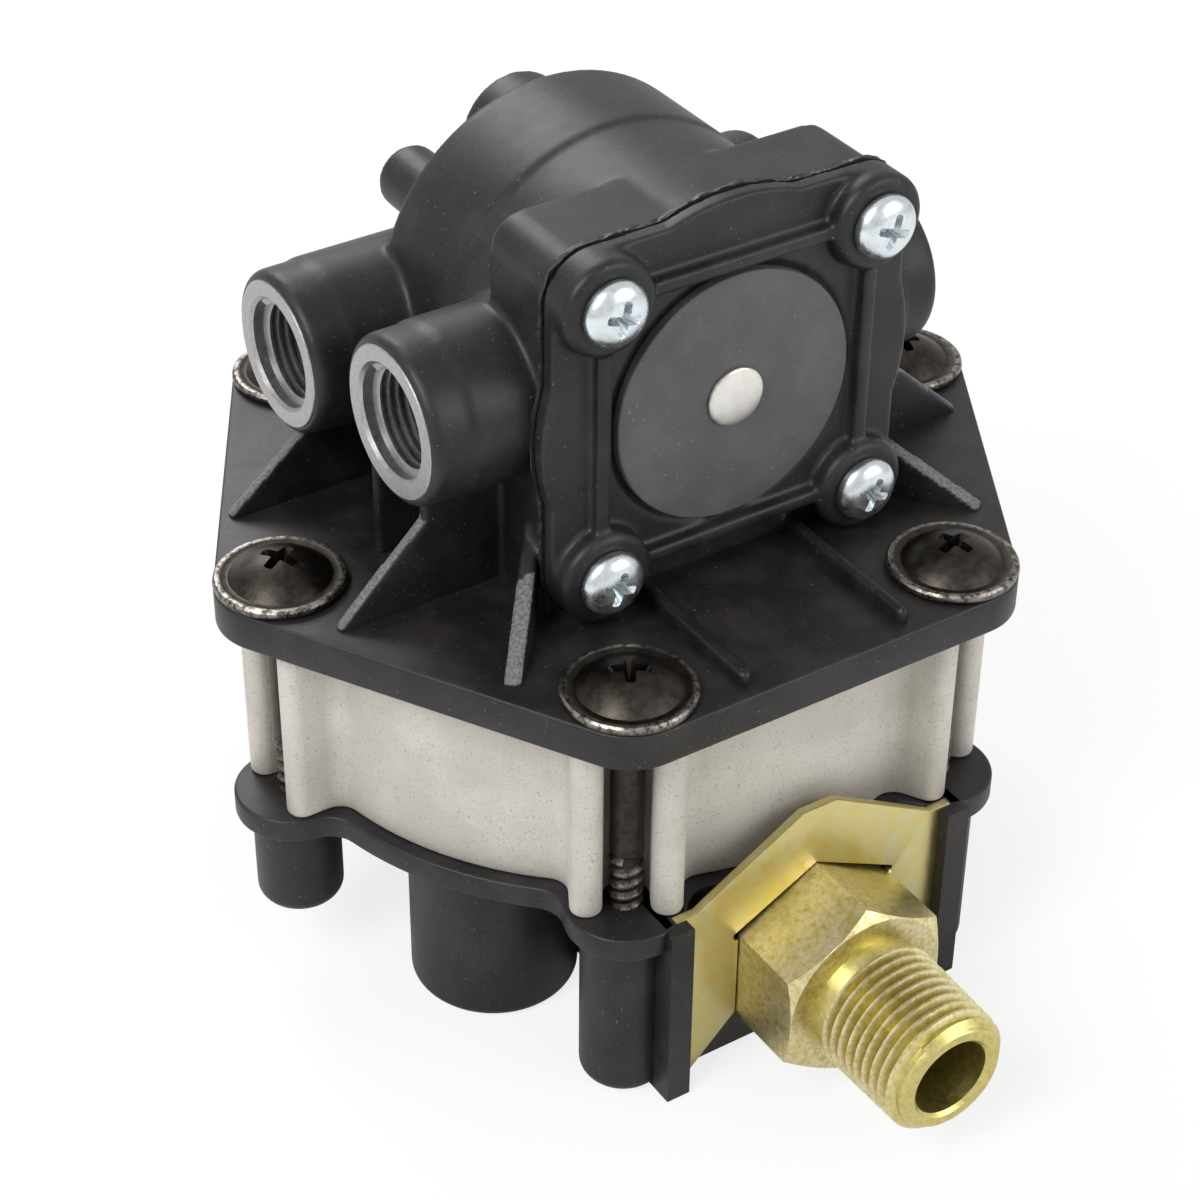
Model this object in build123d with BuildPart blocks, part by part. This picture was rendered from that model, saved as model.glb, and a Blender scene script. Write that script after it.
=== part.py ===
from build123d import *
import math
import os

os.makedirs("parts", exist_ok=True)

# Trailer control valve: a relay valve under a spring brake control valve, in one stack.
# Millimetres, +Z up. The origin lies on the screw circle's axis at the level of the feet.
# The supply nipple points along -Y, the upper side ports along -X and +X.

# Aluminium body: bore, wall, and the screw circle just outside the wall that all housings share
body_bore_r = 46.0
body_wall_t = 7.0
screw_wall_gap = 3.5
body_wall_r = body_bore_r + body_wall_t
screw_circle_r = body_wall_r + screw_wall_gap
screw_count = 6
screw_shank_r = 2.5
screw_rim_r = 9.85
screw_rim_t = 1.5
screw_dome_r = 7.7
screw_dome_h = 3.4
screw_length = 54.5
hole_gap = 0.1

# Stack heights
foot_h = 29.5
lower_plate_t = 4.0
body_h = 32.0
flange_t = 6.0

# Upper cover flange and lower plate outline
flange_margin = 9.8
plate_margin = 2.3
plate_disc_r = body_wall_r + plate_margin
plate_lobe_r = 9.2
plate_web_r = 5.0

# Ribs and floor of the body, gasket grooves
rib_w = 4.8
rib_gap = 7.0
rib_reach = 4.1
rib_tip_r = screw_circle_r + rib_reach
rib_root_r = 3.2
chamber_h = 3.0
floor_t = 3.0
guide_h = 4.0
guide_wall = 4.0
gasket_inset = 1.0
gasket_w = 3.2
gasket_t = 1.0

# Lower cover
corner_boss_r = 6.7
boss_round = 2.4
long_boss_angles = (240, 300)
short_boss_foot = 12.5
hub_r = 18.5
hub_bore_r = 14.0
seat_z = 24.5
seat_t = 3.0
seat_r = 9.0
delivery_boss_r = 13.1
delivery_round = 1.8
delivery_hub_gap = 6.3
delivery_circle_r = hub_r + delivery_hub_gap + delivery_boss_r
delivery_angles = (210, 330)
delivery_bore_r = 6.0
block_proud = 0.5
block_front = plate_disc_r + block_proud
block_half_w = 22.0
block_bottom = 1.8
post_wall = 2.0
post_lip_w = 4.0
post_lip_t = 2.0

# Pipe threads: major radius of the nipple's thread, mouth radius of the female ports
nipple_drop = 11.7
nipple_z = foot_h - nipple_drop
nipple_thread_r = 10.67
nipple_thread_l = 19.6
nipple_neck_r = 9.6
nipple_neck_l = 1.2
nipple_bore_r = 6.35
nipple_hex_af = 27.2
nipple_hex_l = 15.0
nipple_inner_l = 14.0
nipple_insert_r = 13.4
port_thread_r = 8.3
port_insert_r = 11.2
port_insert_l = 14.0
port_bore_r = 6.0
delivery_insert_r = 10.8

# Lock plate
lock_t = 1.5
lock_half_w = 25.0
lock_shoulder_w = 21.4
lock_top_rise = 26.5
lock_apex_w = 3.0
lock_slope = 30.0
lock_flare_drop = 7.4
lock_leg_drop = 15.2
lock_relief_r = 0.9
lock_gap = 0.15

# Upper cover: pad, drum and ports
drum_rise = 29.8
drum_r = 28.9
drum_step = 0.4
drum_step_y = -0.5
drum_back = 17.8
drum_leg_w = 44.0
pad_face = 27.7
pad_depth = 14.7
pad_half_w = 28.5
pad_half_h = 27.7
pad_corner_r = 5.0
port_boss_r = 12.8
port_lip_step = 0.3
port_lip_l = 6.5
port_lip_round = 1.8
left_face = 45.7
right_face = 40.0
front_port_y = -14.9
front_port_rise = 31.6
rear_port_y = 18.6
rear_port_rise = 25.2
rear_block_reach = 12.0
rear_block_w = 25.0
rear_boss_y = 27.5
rear_boss_top_r = 9.0
rear_boss_top_rise = 16.3
rear_boss_side_r = 5.0
rear_boss_side_x = 18.3
rear_boss_side_rise = 13.2
gusset_t = 1.8
thick_gusset_t = 2.6
gusset_foot_x = screw_circle_r - 1.1
gusset_toe = 0.6
web_inset = 4.5
middle_web_y = -1.0
middle_web_h = 19.0
thick_gusset_h = 12.0
thick_gusset_foot_r = screw_circle_r + 0.5
thick_gusset_angle = 43.58
front_rib_x = 13.7
front_rib_w = 2.0
front_rib_h = 2.4
front_rib_margin = 2.13
spigot_depth = 5.0
spigot_wall = 3.5

# Front cover
cover_gasket_t = 0.8
cover_t = 2.6
cover_screw_x = 22.2
cover_screw_rise = 21.8
cover_boss_r = 7.3
cover_boss_l = 6.0
cover_rib_w = 2.2
cover_rib_l = 4.6
cover_bulge_r = 31.0
cover_spigot_wall = 3.5
cover_screw_r = 2.2
cover_screw_head_r = 4.9
cover_screw_head_h = 3.0
cover_screw_l = 17.0
disc_r = 19.5
disc_t = 1.6
disc_recess_r = 20.4
disc_recess_t = 0.6
vent_r = 3.0
vent_circle_r = 12.0
vent_count = 6
pin_head_r = 4.6
pin_head_h = 0.9
pin_shank_r = 2.5

# Clearances: of a sliding piece, and of a piece that is fitted and stays
slide_gap = 0.3
fit_gap = 0.1

# Relay piston, poppet and their springs
piston_h = 8.0
piston_web_t = 4.0
piston_rim_t = 6.0
piston_stem_r = 8.0
piston_nose_r = 6.0
piston_travel = 5.0
exhaust_gap = 1.6
seal_w = 2.2
seal_h = 2.6
poppet_r = 11.5
poppet_t = 3.0
poppet_tube_r = 5.0
poppet_tube_bore_r = 3.2
poppet_end_z = 5.8
washer_t = 1.4
guide_z = 6.3
guide_t = 5.0
snap_ring_t = 1.1
snap_ring_depth = 1.2
snap_ring_w = 3.2
relay_spring_r = 20.0
relay_spring_wire = 1.6
relay_spring_turns = 3
poppet_spring_r = 8.2
poppet_spring_wire = 1.2
poppet_spring_turns = 4

# Control piston in the drum
control_bore_r = 22.0
control_bore_end = 6.0
control_stop_y = -22.0
control_piston_t = 7.0
control_stem_r = 6.0
control_stem_end = 8.0
control_travel = 6.0
control_spring_r = 10.5
control_spring_wire = 1.8
control_spring_turns = 4

# Check valve under the rear port
check_x = -14.0
check_pocket_r = 8.5
check_pocket_h = 14.5
check_seat_r = 5.0
check_disc_r = 7.4
check_disc_t = 3.0
check_stem_r = 2.5
check_travel = 3.0
check_plate_t = 3.0
check_spring_r = 5.2
check_spring_wire = 1.0
check_spring_turns = 3

# Heights and places worked out from the sizes above
plate_top = foot_h + lower_plate_t
slot_half_w = lock_half_w + lock_gap
post_outer = slot_half_w + post_wall
body_top = plate_top + body_h
flange_top = body_top + flange_t
floor_bottom = plate_top + chamber_h
floor_top = floor_bottom + floor_t
drum_z = flange_top + drum_rise
front_port_z = flange_top + front_port_rise
rear_port_z = flange_top + rear_port_rise
cover_back = pad_face + cover_gasket_t
cover_face = cover_back + cover_t
screw_hole_r = screw_shank_r + hole_gap
screw_tip = flange_top - screw_length
flange_apothem = screw_circle_r * math.cos(math.pi / screw_count) + flange_margin
gasket_r = body_bore_r + gasket_inset
front_rib_end = flange_apothem - front_rib_margin
thick_gusset_foot = Vector(thick_gusset_foot_r, 0).rotate(Axis.Z, -thick_gusset_angle)
piston_top = body_top - spigot_depth - slide_gap
piston_bottom = piston_top - piston_h
poppet_top = seat_z - fit_gap
embed = 1.0


def disc_at(z, radius, height, hole=0.0):
    # Upright disc or ring from z upwards, added to the part being built
    with BuildSketch(Plane.XY.offset(z)) as face:
        Circle(radius)
        if hole > 0:
            Circle(hole, mode=Mode.SUBTRACT)
    extrude(face.sketch, amount=height)


def bore_at(z, radius, height, x=0.0, y=0.0):
    # Upright hole from z upwards
    with BuildSketch(Plane.XY.offset(z)) as face:
        with Locations((x, y)):
            Circle(radius)
    extrude(face.sketch, amount=height, mode=Mode.SUBTRACT)


def bar_along_y(y_from, y_to, radius, x, z, mode=Mode.ADD):
    # Round bar or hole along Y
    with BuildSketch(Plane.XZ.offset(-y_from)) as face:
        with Locations((x, z)):
            Circle(radius)
    extrude(face.sketch, amount=y_from - y_to, mode=mode)


def bar_along_x(x_from, x_to, radius, y, z, mode=Mode.ADD):
    # Round bar or hole along X
    with BuildSketch(Plane.YZ.offset(x_from)) as face:
        with Locations((y, z)):
            Circle(radius)
    extrude(face.sketch, amount=x_to - x_from, mode=mode)


def port_boss(side, face, root, y, z):
    # Round boss of a side port: a front length turned with a rounded lip, then a fuller root
    plane = Plane(origin=(0, y, z), x_dir=(side, 0, 0), z_dir=(0, -side, 0))
    lip_r = port_boss_r - port_lip_step
    with BuildSketch(plane) as half:
        with Locations(((face + root) / 2, lip_r / 2)):
            Rectangle(face - root, lip_r)
        fillet(half.vertices().group_by(Axis.Y)[-1].sort_by(Axis.X)[-1], port_lip_round)
    revolve(half.sketch, axis=Axis((0, y, z), (1, 0, 0)))
    bar_along_x(side * (face - port_lip_l), side * root, port_boss_r, y, z)


def round_boss(angle, circle_r, radius, foot, rounding):
    # Upright boss on a circle about the origin, turned with a rounded foot
    turn = math.radians(angle)
    centre = Vector(circle_r * math.cos(turn), circle_r * math.sin(turn), 0)
    top = foot_h + embed
    with BuildSketch(Plane(origin=centre, x_dir=(1, 0, 0), z_dir=(0, -1, 0))) as half:
        with Locations((radius / 2, (foot + top) / 2)):
            Rectangle(radius, top - foot)
        fillet(half.vertices().group_by(Axis.Y)[0].sort_by(Axis.X)[-1], rounding)
    revolve(half.sketch, axis=Axis(centre, (0, 0, 1)))


def dome_middle(radius, height):
    # Middle point of the arc from a dome's rim at (radius, 0) to its top at (0, height)
    sphere_r = (radius * radius + height * height) / (2 * height)
    half = math.asin(radius / sphere_r) / 2
    return sphere_r * math.sin(half), height - sphere_r + sphere_r * math.cos(half)


def web(root, foot, inward, low_h, high_h, thickness):
    # Upright web on the flange from root to foot, whose top slopes down to a low toe
    run = Vector(foot[0] - root[0], foot[1] - root[1], 0)
    along = run.normalized()
    plane = Plane(origin=(root[0], root[1], flange_top), x_dir=along, z_dir=along.cross(Vector(0, 0, 1)))
    with BuildSketch(plane) as side:
        with BuildLine():
            Polyline(
                (-inward, -embed),
                (run.length, -embed),
                (run.length, gusset_toe),
                (0, low_h),
                (0, high_h),
                (-inward, high_h),
                close=True,
            )
        make_face()
    extrude(side.sketch, amount=thickness / 2, both=True)


def spring_coil(plane, radius, wire, turns, height):
    # Compression spring between two flats, its wire centred half a wire inside each
    rise = height - wire
    with BuildPart() as coil:
        with BuildLine() as path:
            Helix(pitch=rise / turns, height=rise, radius=radius)
        with BuildSketch(Plane(origin=path.line @ 0, z_dir=path.line % 0)):
            Circle(wire / 2)
        sweep()
    return coil.part.moved(plane.offset(wire / 2).location)


# Outline shared by the lower cover's plate: a disc with a lobe round each screw
with BuildSketch(Plane.XY.offset(foot_h)) as plate_outline:
    Circle(plate_disc_r)
    with PolarLocations(screw_circle_r, screw_count):
        Circle(plate_lobe_r)
    creases = plate_outline.vertices().filter_by(
        lambda v: abs(math.hypot(v.X, v.Y) - plate_disc_r) < 0.01
    )
    fillet(creases, plate_web_r)

# Lower cover
with BuildPart() as lower_cover:
    extrude(plate_outline.sketch, amount=lower_plate_t)
    disc_at(0, hub_r, foot_h + embed)
    # Supply block with a post at each side that carries the lock plate
    with BuildSketch(Plane.XY.offset(block_bottom)):
        with Locations((0, -block_front / 2)):
            Rectangle(2 * block_half_w, block_front)
    extrude(amount=foot_h + embed - block_bottom)
    with BuildSketch(Plane.XY):
        lip_front = block_front + lock_t + lock_gap + post_lip_t
        post_back = screw_circle_r * math.sin(math.pi / 3)
        with Locations((post_outer - post_lip_w / 2, -(lip_front + post_back) / 2)):
            Rectangle(post_lip_w, lip_front - post_back)
        mirror(about=Plane.YZ)
    extrude(amount=plate_top)
    # Blind bosses under the six screws, the two beside the nipple as long as the feet
    for turn in range(screw_count):
        angle = 360 / screw_count * turn
        boss_foot = 0 if angle in long_boss_angles else short_boss_foot
        round_boss(angle, screw_circle_r, corner_boss_r, boss_foot, boss_round)
    # Delivery bosses that face down
    for angle in delivery_angles:
        round_boss(angle, delivery_circle_r, delivery_boss_r, 0, delivery_round)
    # Inlet chamber below the seat, outlet chamber above it
    bore_at(0, hub_bore_r, seat_z)
    bore_at(seat_z, seat_r, seat_t)
    bore_at(seat_z + seat_t, hub_bore_r, plate_top - seat_z - seat_t)
    with BuildSketch(Plane.XY.offset(guide_z - snap_ring_t - fit_gap)):
        Circle(hub_bore_r + snap_ring_depth)
    extrude(amount=snap_ring_t + fit_gap, mode=Mode.SUBTRACT)
    # Delivery passages and their insert seats
    for angle in delivery_angles:
        with PolarLocations(delivery_circle_r, 1, start_angle=angle):
            Cylinder(
                delivery_bore_r, plate_top, align=(Align.CENTER, Align.CENTER, Align.MIN), mode=Mode.SUBTRACT
            )
            Cylinder(
                delivery_insert_r + fit_gap,
                port_insert_l,
                align=(Align.CENTER, Align.CENTER, Align.MIN),
                mode=Mode.SUBTRACT,
            )
    # Screw holes
    with BuildSketch(Plane.XY.offset(screw_tip - fit_gap)):
        with PolarLocations(screw_circle_r, screw_count):
            Circle(screw_hole_r)
    extrude(amount=plate_top - screw_tip + fit_gap, mode=Mode.SUBTRACT)
    # Supply passage, and the seat of its threaded insert
    bar_along_y(-block_front, -hub_bore_r + embed, nipple_bore_r, 0, nipple_z, Mode.SUBTRACT)
    bar_along_y(
        -block_front,
        -block_front + nipple_inner_l + embed,
        nipple_insert_r + fit_gap,
        0,
        nipple_z,
        Mode.SUBTRACT,
    )
    # Slot for the lock plate, open in front between the posts' lips
    with BuildSketch(Plane.XY):
        with Locations((0, -block_front - (lock_t + lock_gap) / 2)):
            Rectangle(2 * slot_half_w, lock_t + lock_gap)
        with Locations((0, -block_front - plate_lobe_r / 2)):
            Rectangle(2 * (post_outer - post_lip_w), plate_lobe_r)
    extrude(amount=plate_top, mode=Mode.SUBTRACT)
lower_cover.part.label = "lower_cover"
export_step(lower_cover.part, "parts/lower_cover.step")

# Aluminium body: a round wall with a pair of ribs beside each screw
with BuildPart() as main_body:
    with BuildSketch(Plane.XY.offset(plate_top)):
        Circle(body_wall_r)
        rib_start = body_wall_r - rib_w / 2
        rib_side = (rib_gap + rib_w) / 2
        with PolarLocations((rib_start + rib_tip_r) / 2, screw_count):
            with Locations((0, rib_side), (0, -rib_side)):
                SlotOverall(rib_tip_r - rib_start, rib_w)
    extrude(amount=body_h)
    rib_roots = edges().filter_by(Axis.Z).filter_by(
        lambda e: abs(math.hypot(e.center().X, e.center().Y) - body_wall_r) < 0.01
    )
    fillet(rib_roots, rib_root_r)
    bore_at(floor_top, body_bore_r, body_top - floor_top)
    bore_at(plate_top, body_bore_r - gasket_w, chamber_h)
    disc_at(floor_top - embed, piston_stem_r + slide_gap + guide_wall, guide_h + embed)
    bore_at(floor_bottom, piston_stem_r + slide_gap, floor_t + guide_h)
    # Small passage from the outlet chamber to the underside of the piston
    bore_at(floor_bottom, delivery_bore_r / 2, floor_t, x=0, y=delivery_circle_r * 0.8)
    # Grooves for the two gaskets
    for groove_z in (plate_top, body_top - gasket_t):
        with BuildSketch(Plane.XY.offset(groove_z)):
            Circle(gasket_r + gasket_w)
            Circle(gasket_r, mode=Mode.SUBTRACT)
        extrude(amount=gasket_t, mode=Mode.SUBTRACT)
main_body.part.label = "main_body"
export_step(main_body.part, "parts/main_body.step")

with BuildPart() as upper_gasket:
    disc_at(body_top - gasket_t, gasket_r + gasket_w, gasket_t, hole=gasket_r)
upper_gasket.part.label = "upper_gasket"
export_step(upper_gasket.part, "parts/upper_gasket.step")

with BuildPart() as lower_gasket:
    disc_at(plate_top, gasket_r + gasket_w, gasket_t, hole=gasket_r)
lower_gasket.part.label = "lower_gasket"
export_step(lower_gasket.part, "parts/lower_gasket.step")

# Upper cover: flange, control drum along Y, pad for the front cover, four side ports
with BuildPart() as upper_cover:
    with BuildSketch(Plane.XY.offset(body_top)) as flange_outline:
        RegularPolygon(flange_apothem, screw_count, major_radius=False)
        fillet(flange_outline.vertices(), flange_margin)
    extrude(amount=flange_t)
    disc_at(body_top - spigot_depth, body_bore_r - slide_gap, spigot_depth + embed)
    bore_at(body_top - spigot_depth, body_bore_r - slide_gap - spigot_wall, spigot_depth)
    # Drum on its leg, a shade fuller behind the step
    bar_along_y(-pad_face, drum_back, drum_r - drum_step, 0, drum_z)
    bar_along_y(drum_step_y, drum_back, drum_r, 0, drum_z)
    with BuildSketch(Plane.XY.offset(flange_top - embed)):
        with Locations((0, (drum_back - pad_face) / 2)):
            Rectangle(drum_leg_w, drum_back + pad_face)
    extrude(amount=drum_rise + embed)
    # Square pad in front, its upper corners rounded
    with BuildSketch(Plane.XZ.offset(pad_face)) as pad_outline:
        with Locations((0, (drum_z + pad_half_h + flange_top - embed) / 2)):
            Rectangle(2 * pad_half_w, drum_rise + pad_half_h + embed)
        fillet(pad_outline.vertices().group_by(Axis.Y)[-1], pad_corner_r)
    extrude(amount=-pad_depth)
    # Block across the back that joins the rear ports
    with BuildSketch(Plane.XY.offset(flange_top - embed)):
        with Locations((check_x, rear_port_y)):
            Rectangle(2 * rear_block_reach, rear_block_w)
        with Locations((-check_x, rear_port_y)):
            Rectangle(2 * rear_block_reach, rear_block_w)
    extrude(amount=rear_port_rise + embed)
    # Side ports
    port_boss(-1, left_face, 0, rear_port_y, rear_port_z)
    port_boss(1, right_face, 0, rear_port_y, rear_port_z)
    port_boss(-1, left_face, control_bore_r, front_port_y, front_port_z)
    port_boss(1, right_face, control_bore_r, front_port_y, front_port_z)
    # Closed bosses on the drum's back
    bar_along_y(drum_back - embed, rear_boss_y, rear_boss_top_r, 0, drum_z + rear_boss_top_rise)
    for side in (-1, 1):
        bar_along_y(
            drum_back - embed,
            rear_boss_y,
            rear_boss_side_r,
            side * rear_boss_side_x,
            drum_z + rear_boss_side_rise,
        )
    # Webs under the ports, thick webs at the pad's corners, low ribs in front
    for side, face in ((-1, left_face), (1, right_face)):
        for port_y, rise in ((front_port_y, front_port_rise), (rear_port_y, rear_port_rise)):
            under = rise - port_boss_r + embed
            root_x = face - web_inset
            web(
                (side * root_x, port_y),
                (side * gusset_foot_x, port_y),
                root_x - drum_leg_w / 2 + embed,
                min(under - embed, gusset_foot_x - root_x),
                under,
                gusset_t,
            )
        web(
            (side * pad_half_w, -pad_face + 1.5 * thick_gusset_t),
            (side * thick_gusset_foot.X, thick_gusset_foot.Y),
            thick_gusset_t,
            thick_gusset_h,
            thick_gusset_h + embed,
            thick_gusset_t,
        )
        with BuildSketch(Plane.XY.offset(flange_top - embed)):
            with Locations((side * (face - web_inset - drum_leg_w / 4), middle_web_y)):
                Rectangle(drum_leg_w / 2, gusset_t)
        extrude(amount=middle_web_h + embed)
        with BuildSketch(Plane.XY.offset(flange_top - embed)):
            with Locations((side * front_rib_x, -(front_rib_end + pad_face) / 2)):
                SlotOverall(front_rib_end - pad_face + front_rib_w, front_rib_w, rotation=90)
        extrude(amount=front_rib_h + embed)
    # Control bore, its stem guide and the vents' way out
    bar_along_y(-pad_face, control_bore_end, control_bore_r, 0, drum_z, Mode.SUBTRACT)
    stem_stop = control_stem_end + control_travel + slide_gap
    bar_along_y(control_bore_end, stem_stop, control_stem_r + slide_gap, 0, drum_z, Mode.SUBTRACT)
    # Ports: insert seat, then a passage inwards
    for side, face in ((-1, left_face), (1, right_face)):
        for port_y, port_z, inner in (
            (front_port_y, front_port_z, control_bore_r - embed),
            (rear_port_y, rear_port_z, abs(check_x)),
        ):
            bar_along_x(side * face, side * inner, port_bore_r, port_y, port_z, Mode.SUBTRACT)
            bar_along_x(
                side * face,
                side * (face - port_insert_l),
                port_insert_r + fit_gap,
                port_y,
                port_z,
                Mode.SUBTRACT,
            )
    # Pockets under the rear ports: check valve on the left, plain passage on the right
    bore_at(body_top, check_pocket_r, check_pocket_h, check_x, rear_port_y)
    bore_at(body_top, check_seat_r, rear_port_z - body_top, check_x, rear_port_y)
    bore_at(body_top, check_seat_r, rear_port_z - body_top, -check_x, rear_port_y)
    # Screw holes
    with BuildSketch(Plane.XY.offset(body_top)):
        with PolarLocations(screw_circle_r, screw_count):
            Circle(screw_hole_r)
    extrude(amount=flange_t, mode=Mode.SUBTRACT)
    for side in (-1, 1):
        for rise in (-cover_screw_rise, cover_screw_rise):
            bar_along_y(
                -pad_face,
                -pad_face + cover_screw_l - cover_boss_l,
                cover_screw_r + hole_gap,
                side * cover_screw_x,
                drum_z + rise,
                Mode.SUBTRACT,
            )
upper_cover.part.label = "upper_cover"
export_step(upper_cover.part, "parts/upper_cover.step")

# Outline shared by the front cover and its gasket: bulged round the drum, square to its bosses
cover_centre = Plane(origin=(0, -cover_back, drum_z), x_dir=(1, 0, 0), z_dir=(0, -1, 0))
cover_corners = GridLocations(2 * cover_screw_x, 2 * cover_screw_rise, 2, 2)
with BuildSketch(cover_centre) as cover_outline:
    Circle(cover_bulge_r)
    with Locations((0, -cover_screw_rise - cover_bulge_r / 2)):
        Rectangle(2 * cover_bulge_r, cover_bulge_r, mode=Mode.SUBTRACT)
    Rectangle(2 * (cover_screw_x + cover_boss_r), 2 * cover_screw_rise)
    with Locations((0, cover_boss_r / 2)):
        Rectangle(2 * cover_screw_x, 2 * cover_screw_rise + cover_boss_r)
    with cover_corners:
        Circle(cover_boss_r)

# Gasket between the pad and the front cover
with BuildPart() as cover_gasket:
    extrude(cover_outline.sketch, amount=-cover_gasket_t)
    bar_along_y(-cover_back, -pad_face, control_bore_r, 0, drum_z, Mode.SUBTRACT)
    with BuildSketch(cover_centre):
        with cover_corners:
            Circle(cover_screw_r + hole_gap)
    extrude(amount=-cover_gasket_t, mode=Mode.SUBTRACT)
cover_gasket.part.label = "cover_gasket"
export_step(cover_gasket.part, "parts/cover_gasket.step")

# Front cover: plate, screw bosses at its corners, ribs between them
with BuildPart() as front_cover:
    extrude(cover_outline.sketch, amount=cover_t)
    with BuildSketch(cover_centre):
        with cover_corners:
            Circle(cover_boss_r)
    extrude(amount=cover_boss_l)
    with BuildSketch(cover_centre):
        with GridLocations(2 * cover_screw_x, 1, 2, 1):
            Rectangle(cover_rib_w, 2 * cover_screw_rise)
        with GridLocations(1, 2 * cover_screw_rise, 1, 2):
            Rectangle(2 * cover_screw_x, cover_rib_w)
    extrude(amount=cover_rib_l)
    # Spigot in the drum, which is also the control piston's stop
    with BuildSketch(cover_centre):
        Circle(control_bore_r - slide_gap)
        Circle(control_bore_r - slide_gap - cover_spigot_wall, mode=Mode.SUBTRACT)
    extrude(amount=-(cover_back + control_stop_y - slide_gap))
    # Recess of the disc, vents behind it, pin hole and screw holes
    bar_along_y(-cover_face, -cover_face + disc_recess_t, disc_recess_r, 0, drum_z, Mode.SUBTRACT)
    with BuildSketch(cover_centre):
        with PolarLocations(vent_circle_r, vent_count):
            Circle(vent_r)
        Circle(pin_shank_r + fit_gap)
    extrude(amount=cover_t, mode=Mode.SUBTRACT)
    with BuildSketch(cover_centre):
        with cover_corners:
            Circle(cover_screw_r + hole_gap)
    extrude(amount=cover_boss_l, mode=Mode.SUBTRACT)
front_cover.part.label = "front_cover"
export_step(front_cover.part, "parts/front_cover.step")

# Rubber exhaust disc and the pin that holds it at its centre
disc_back = cover_face - disc_recess_t
with BuildPart() as exhaust_disc:
    bar_along_y(-disc_back, -disc_back - disc_t, disc_r, 0, drum_z)
    bar_along_y(-disc_back, -disc_back - disc_t, pin_shank_r + fit_gap, 0, drum_z, Mode.SUBTRACT)
exhaust_disc.part.label = "exhaust_disc"
export_step(exhaust_disc.part, "parts/exhaust_disc.step")

drum_side = Plane(origin=(0, 0, drum_z), x_dir=(0, 1, 0), z_dir=(1, 0, 0))
drum_axis = Axis((0, 0, drum_z), (0, 1, 0))
disc_front = -disc_back - disc_t
with BuildPart() as disc_pin:
    with BuildSketch(drum_side):
        with BuildLine():
            barb = -cover_back + pin_head_h
            Polyline(
                (disc_front - pin_head_h, 0),
                (barb + pin_head_h, 0),
                (barb + pin_head_h, pin_shank_r),
                (barb, pin_shank_r + pin_head_h),
                (-cover_back, pin_shank_r + pin_head_h),
                (-cover_back, pin_shank_r),
                (disc_front, pin_shank_r),
                (disc_front, pin_head_r),
            )
            middle_r, middle_h = dome_middle(pin_head_r, pin_head_h)
            ThreePointArc(
                (disc_front, pin_head_r),
                (disc_front - middle_h, middle_r),
                (disc_front - pin_head_h, 0),
            )
        make_face()
    revolve(axis=drum_axis)
disc_pin.part.label = "disc_pin"
export_step(disc_pin.part, "parts/disc_pin.step")

# Pan head screws of the front cover
with BuildPart() as cover_screw:
    with BuildSketch(Plane.XZ) as pan_half:
        with Locations((cover_screw_head_r / 2, cover_screw_head_h / 2)):
            Rectangle(cover_screw_head_r, cover_screw_head_h)
        fillet(pan_half.vertices().group_by(Axis.Y)[-1].sort_by(Axis.X)[-1], cover_screw_head_h * 0.6)
        with Locations((cover_screw_r / 2, -cover_screw_l / 2)):
            Rectangle(cover_screw_r, cover_screw_l)
    revolve(axis=Axis.Z)
with BuildPart(cover_centre.offset(cover_boss_l)) as cover_screws:
    with cover_corners:
        add(cover_screw.part)
cover_screws.part.label = "cover_screws"
export_step(cover_screws.part, "parts/cover_screws.step")

# Long washer-head screws through all three housings
with BuildPart() as housing_screw:
    with BuildSketch(Plane.XZ):
        with BuildLine():
            Polyline(
                (0, screw_rim_t + screw_dome_h),
                (0, -screw_length),
                (screw_shank_r * 0.6, -screw_length),
                (screw_shank_r, -screw_length + screw_shank_r),
                (screw_shank_r, 0),
                (screw_rim_r, 0),
                (screw_rim_r, screw_rim_t),
                (screw_dome_r, screw_rim_t),
            )
            middle_r, middle_h = dome_middle(screw_dome_r, screw_dome_h)
            ThreePointArc(
                (screw_dome_r, screw_rim_t),
                (middle_r, screw_rim_t + middle_h),
                (0, screw_rim_t + screw_dome_h),
            )
        make_face()
    revolve(axis=Axis.Z)
with BuildPart(Plane.XY.offset(flange_top)) as housing_screws:
    with PolarLocations(screw_circle_r, screw_count):
        add(housing_screw.part)
housing_screws.part.label = "housing_screws"
export_step(housing_screws.part, "parts/housing_screws.step")

# Threaded metal inserts of the side ports
for side_name, side, face in (("left", -1, left_face), ("right", 1, right_face)):
    for place, port_y, port_z in (
        ("front", front_port_y, front_port_z),
        ("rear", rear_port_y, rear_port_z),
    ):
        with BuildPart() as port_insert:
            end = side * (face - port_insert_l)
            bar_along_x(side * face, end, port_insert_r, port_y, port_z)
            bar_along_x(side * face, end, port_thread_r, port_y, port_z, Mode.SUBTRACT)
        port_insert.part.label = side_name + "_" + place + "_port_insert"
        export_step(port_insert.part, "parts/" + port_insert.part.label + ".step")

# Threaded inserts of the two delivery ports, which face down
for insert_name, angle in zip(("left_delivery_insert", "right_delivery_insert"), delivery_angles):
    with BuildPart() as delivery_insert:
        with BuildSketch(Plane.XY):
            with PolarLocations(delivery_circle_r, 1, start_angle=angle):
                Circle(delivery_insert_r)
                Circle(port_thread_r, mode=Mode.SUBTRACT)
        extrude(amount=port_insert_l)
    delivery_insert.part.label = insert_name
    export_step(delivery_insert.part, "parts/" + insert_name + ".step")

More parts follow.
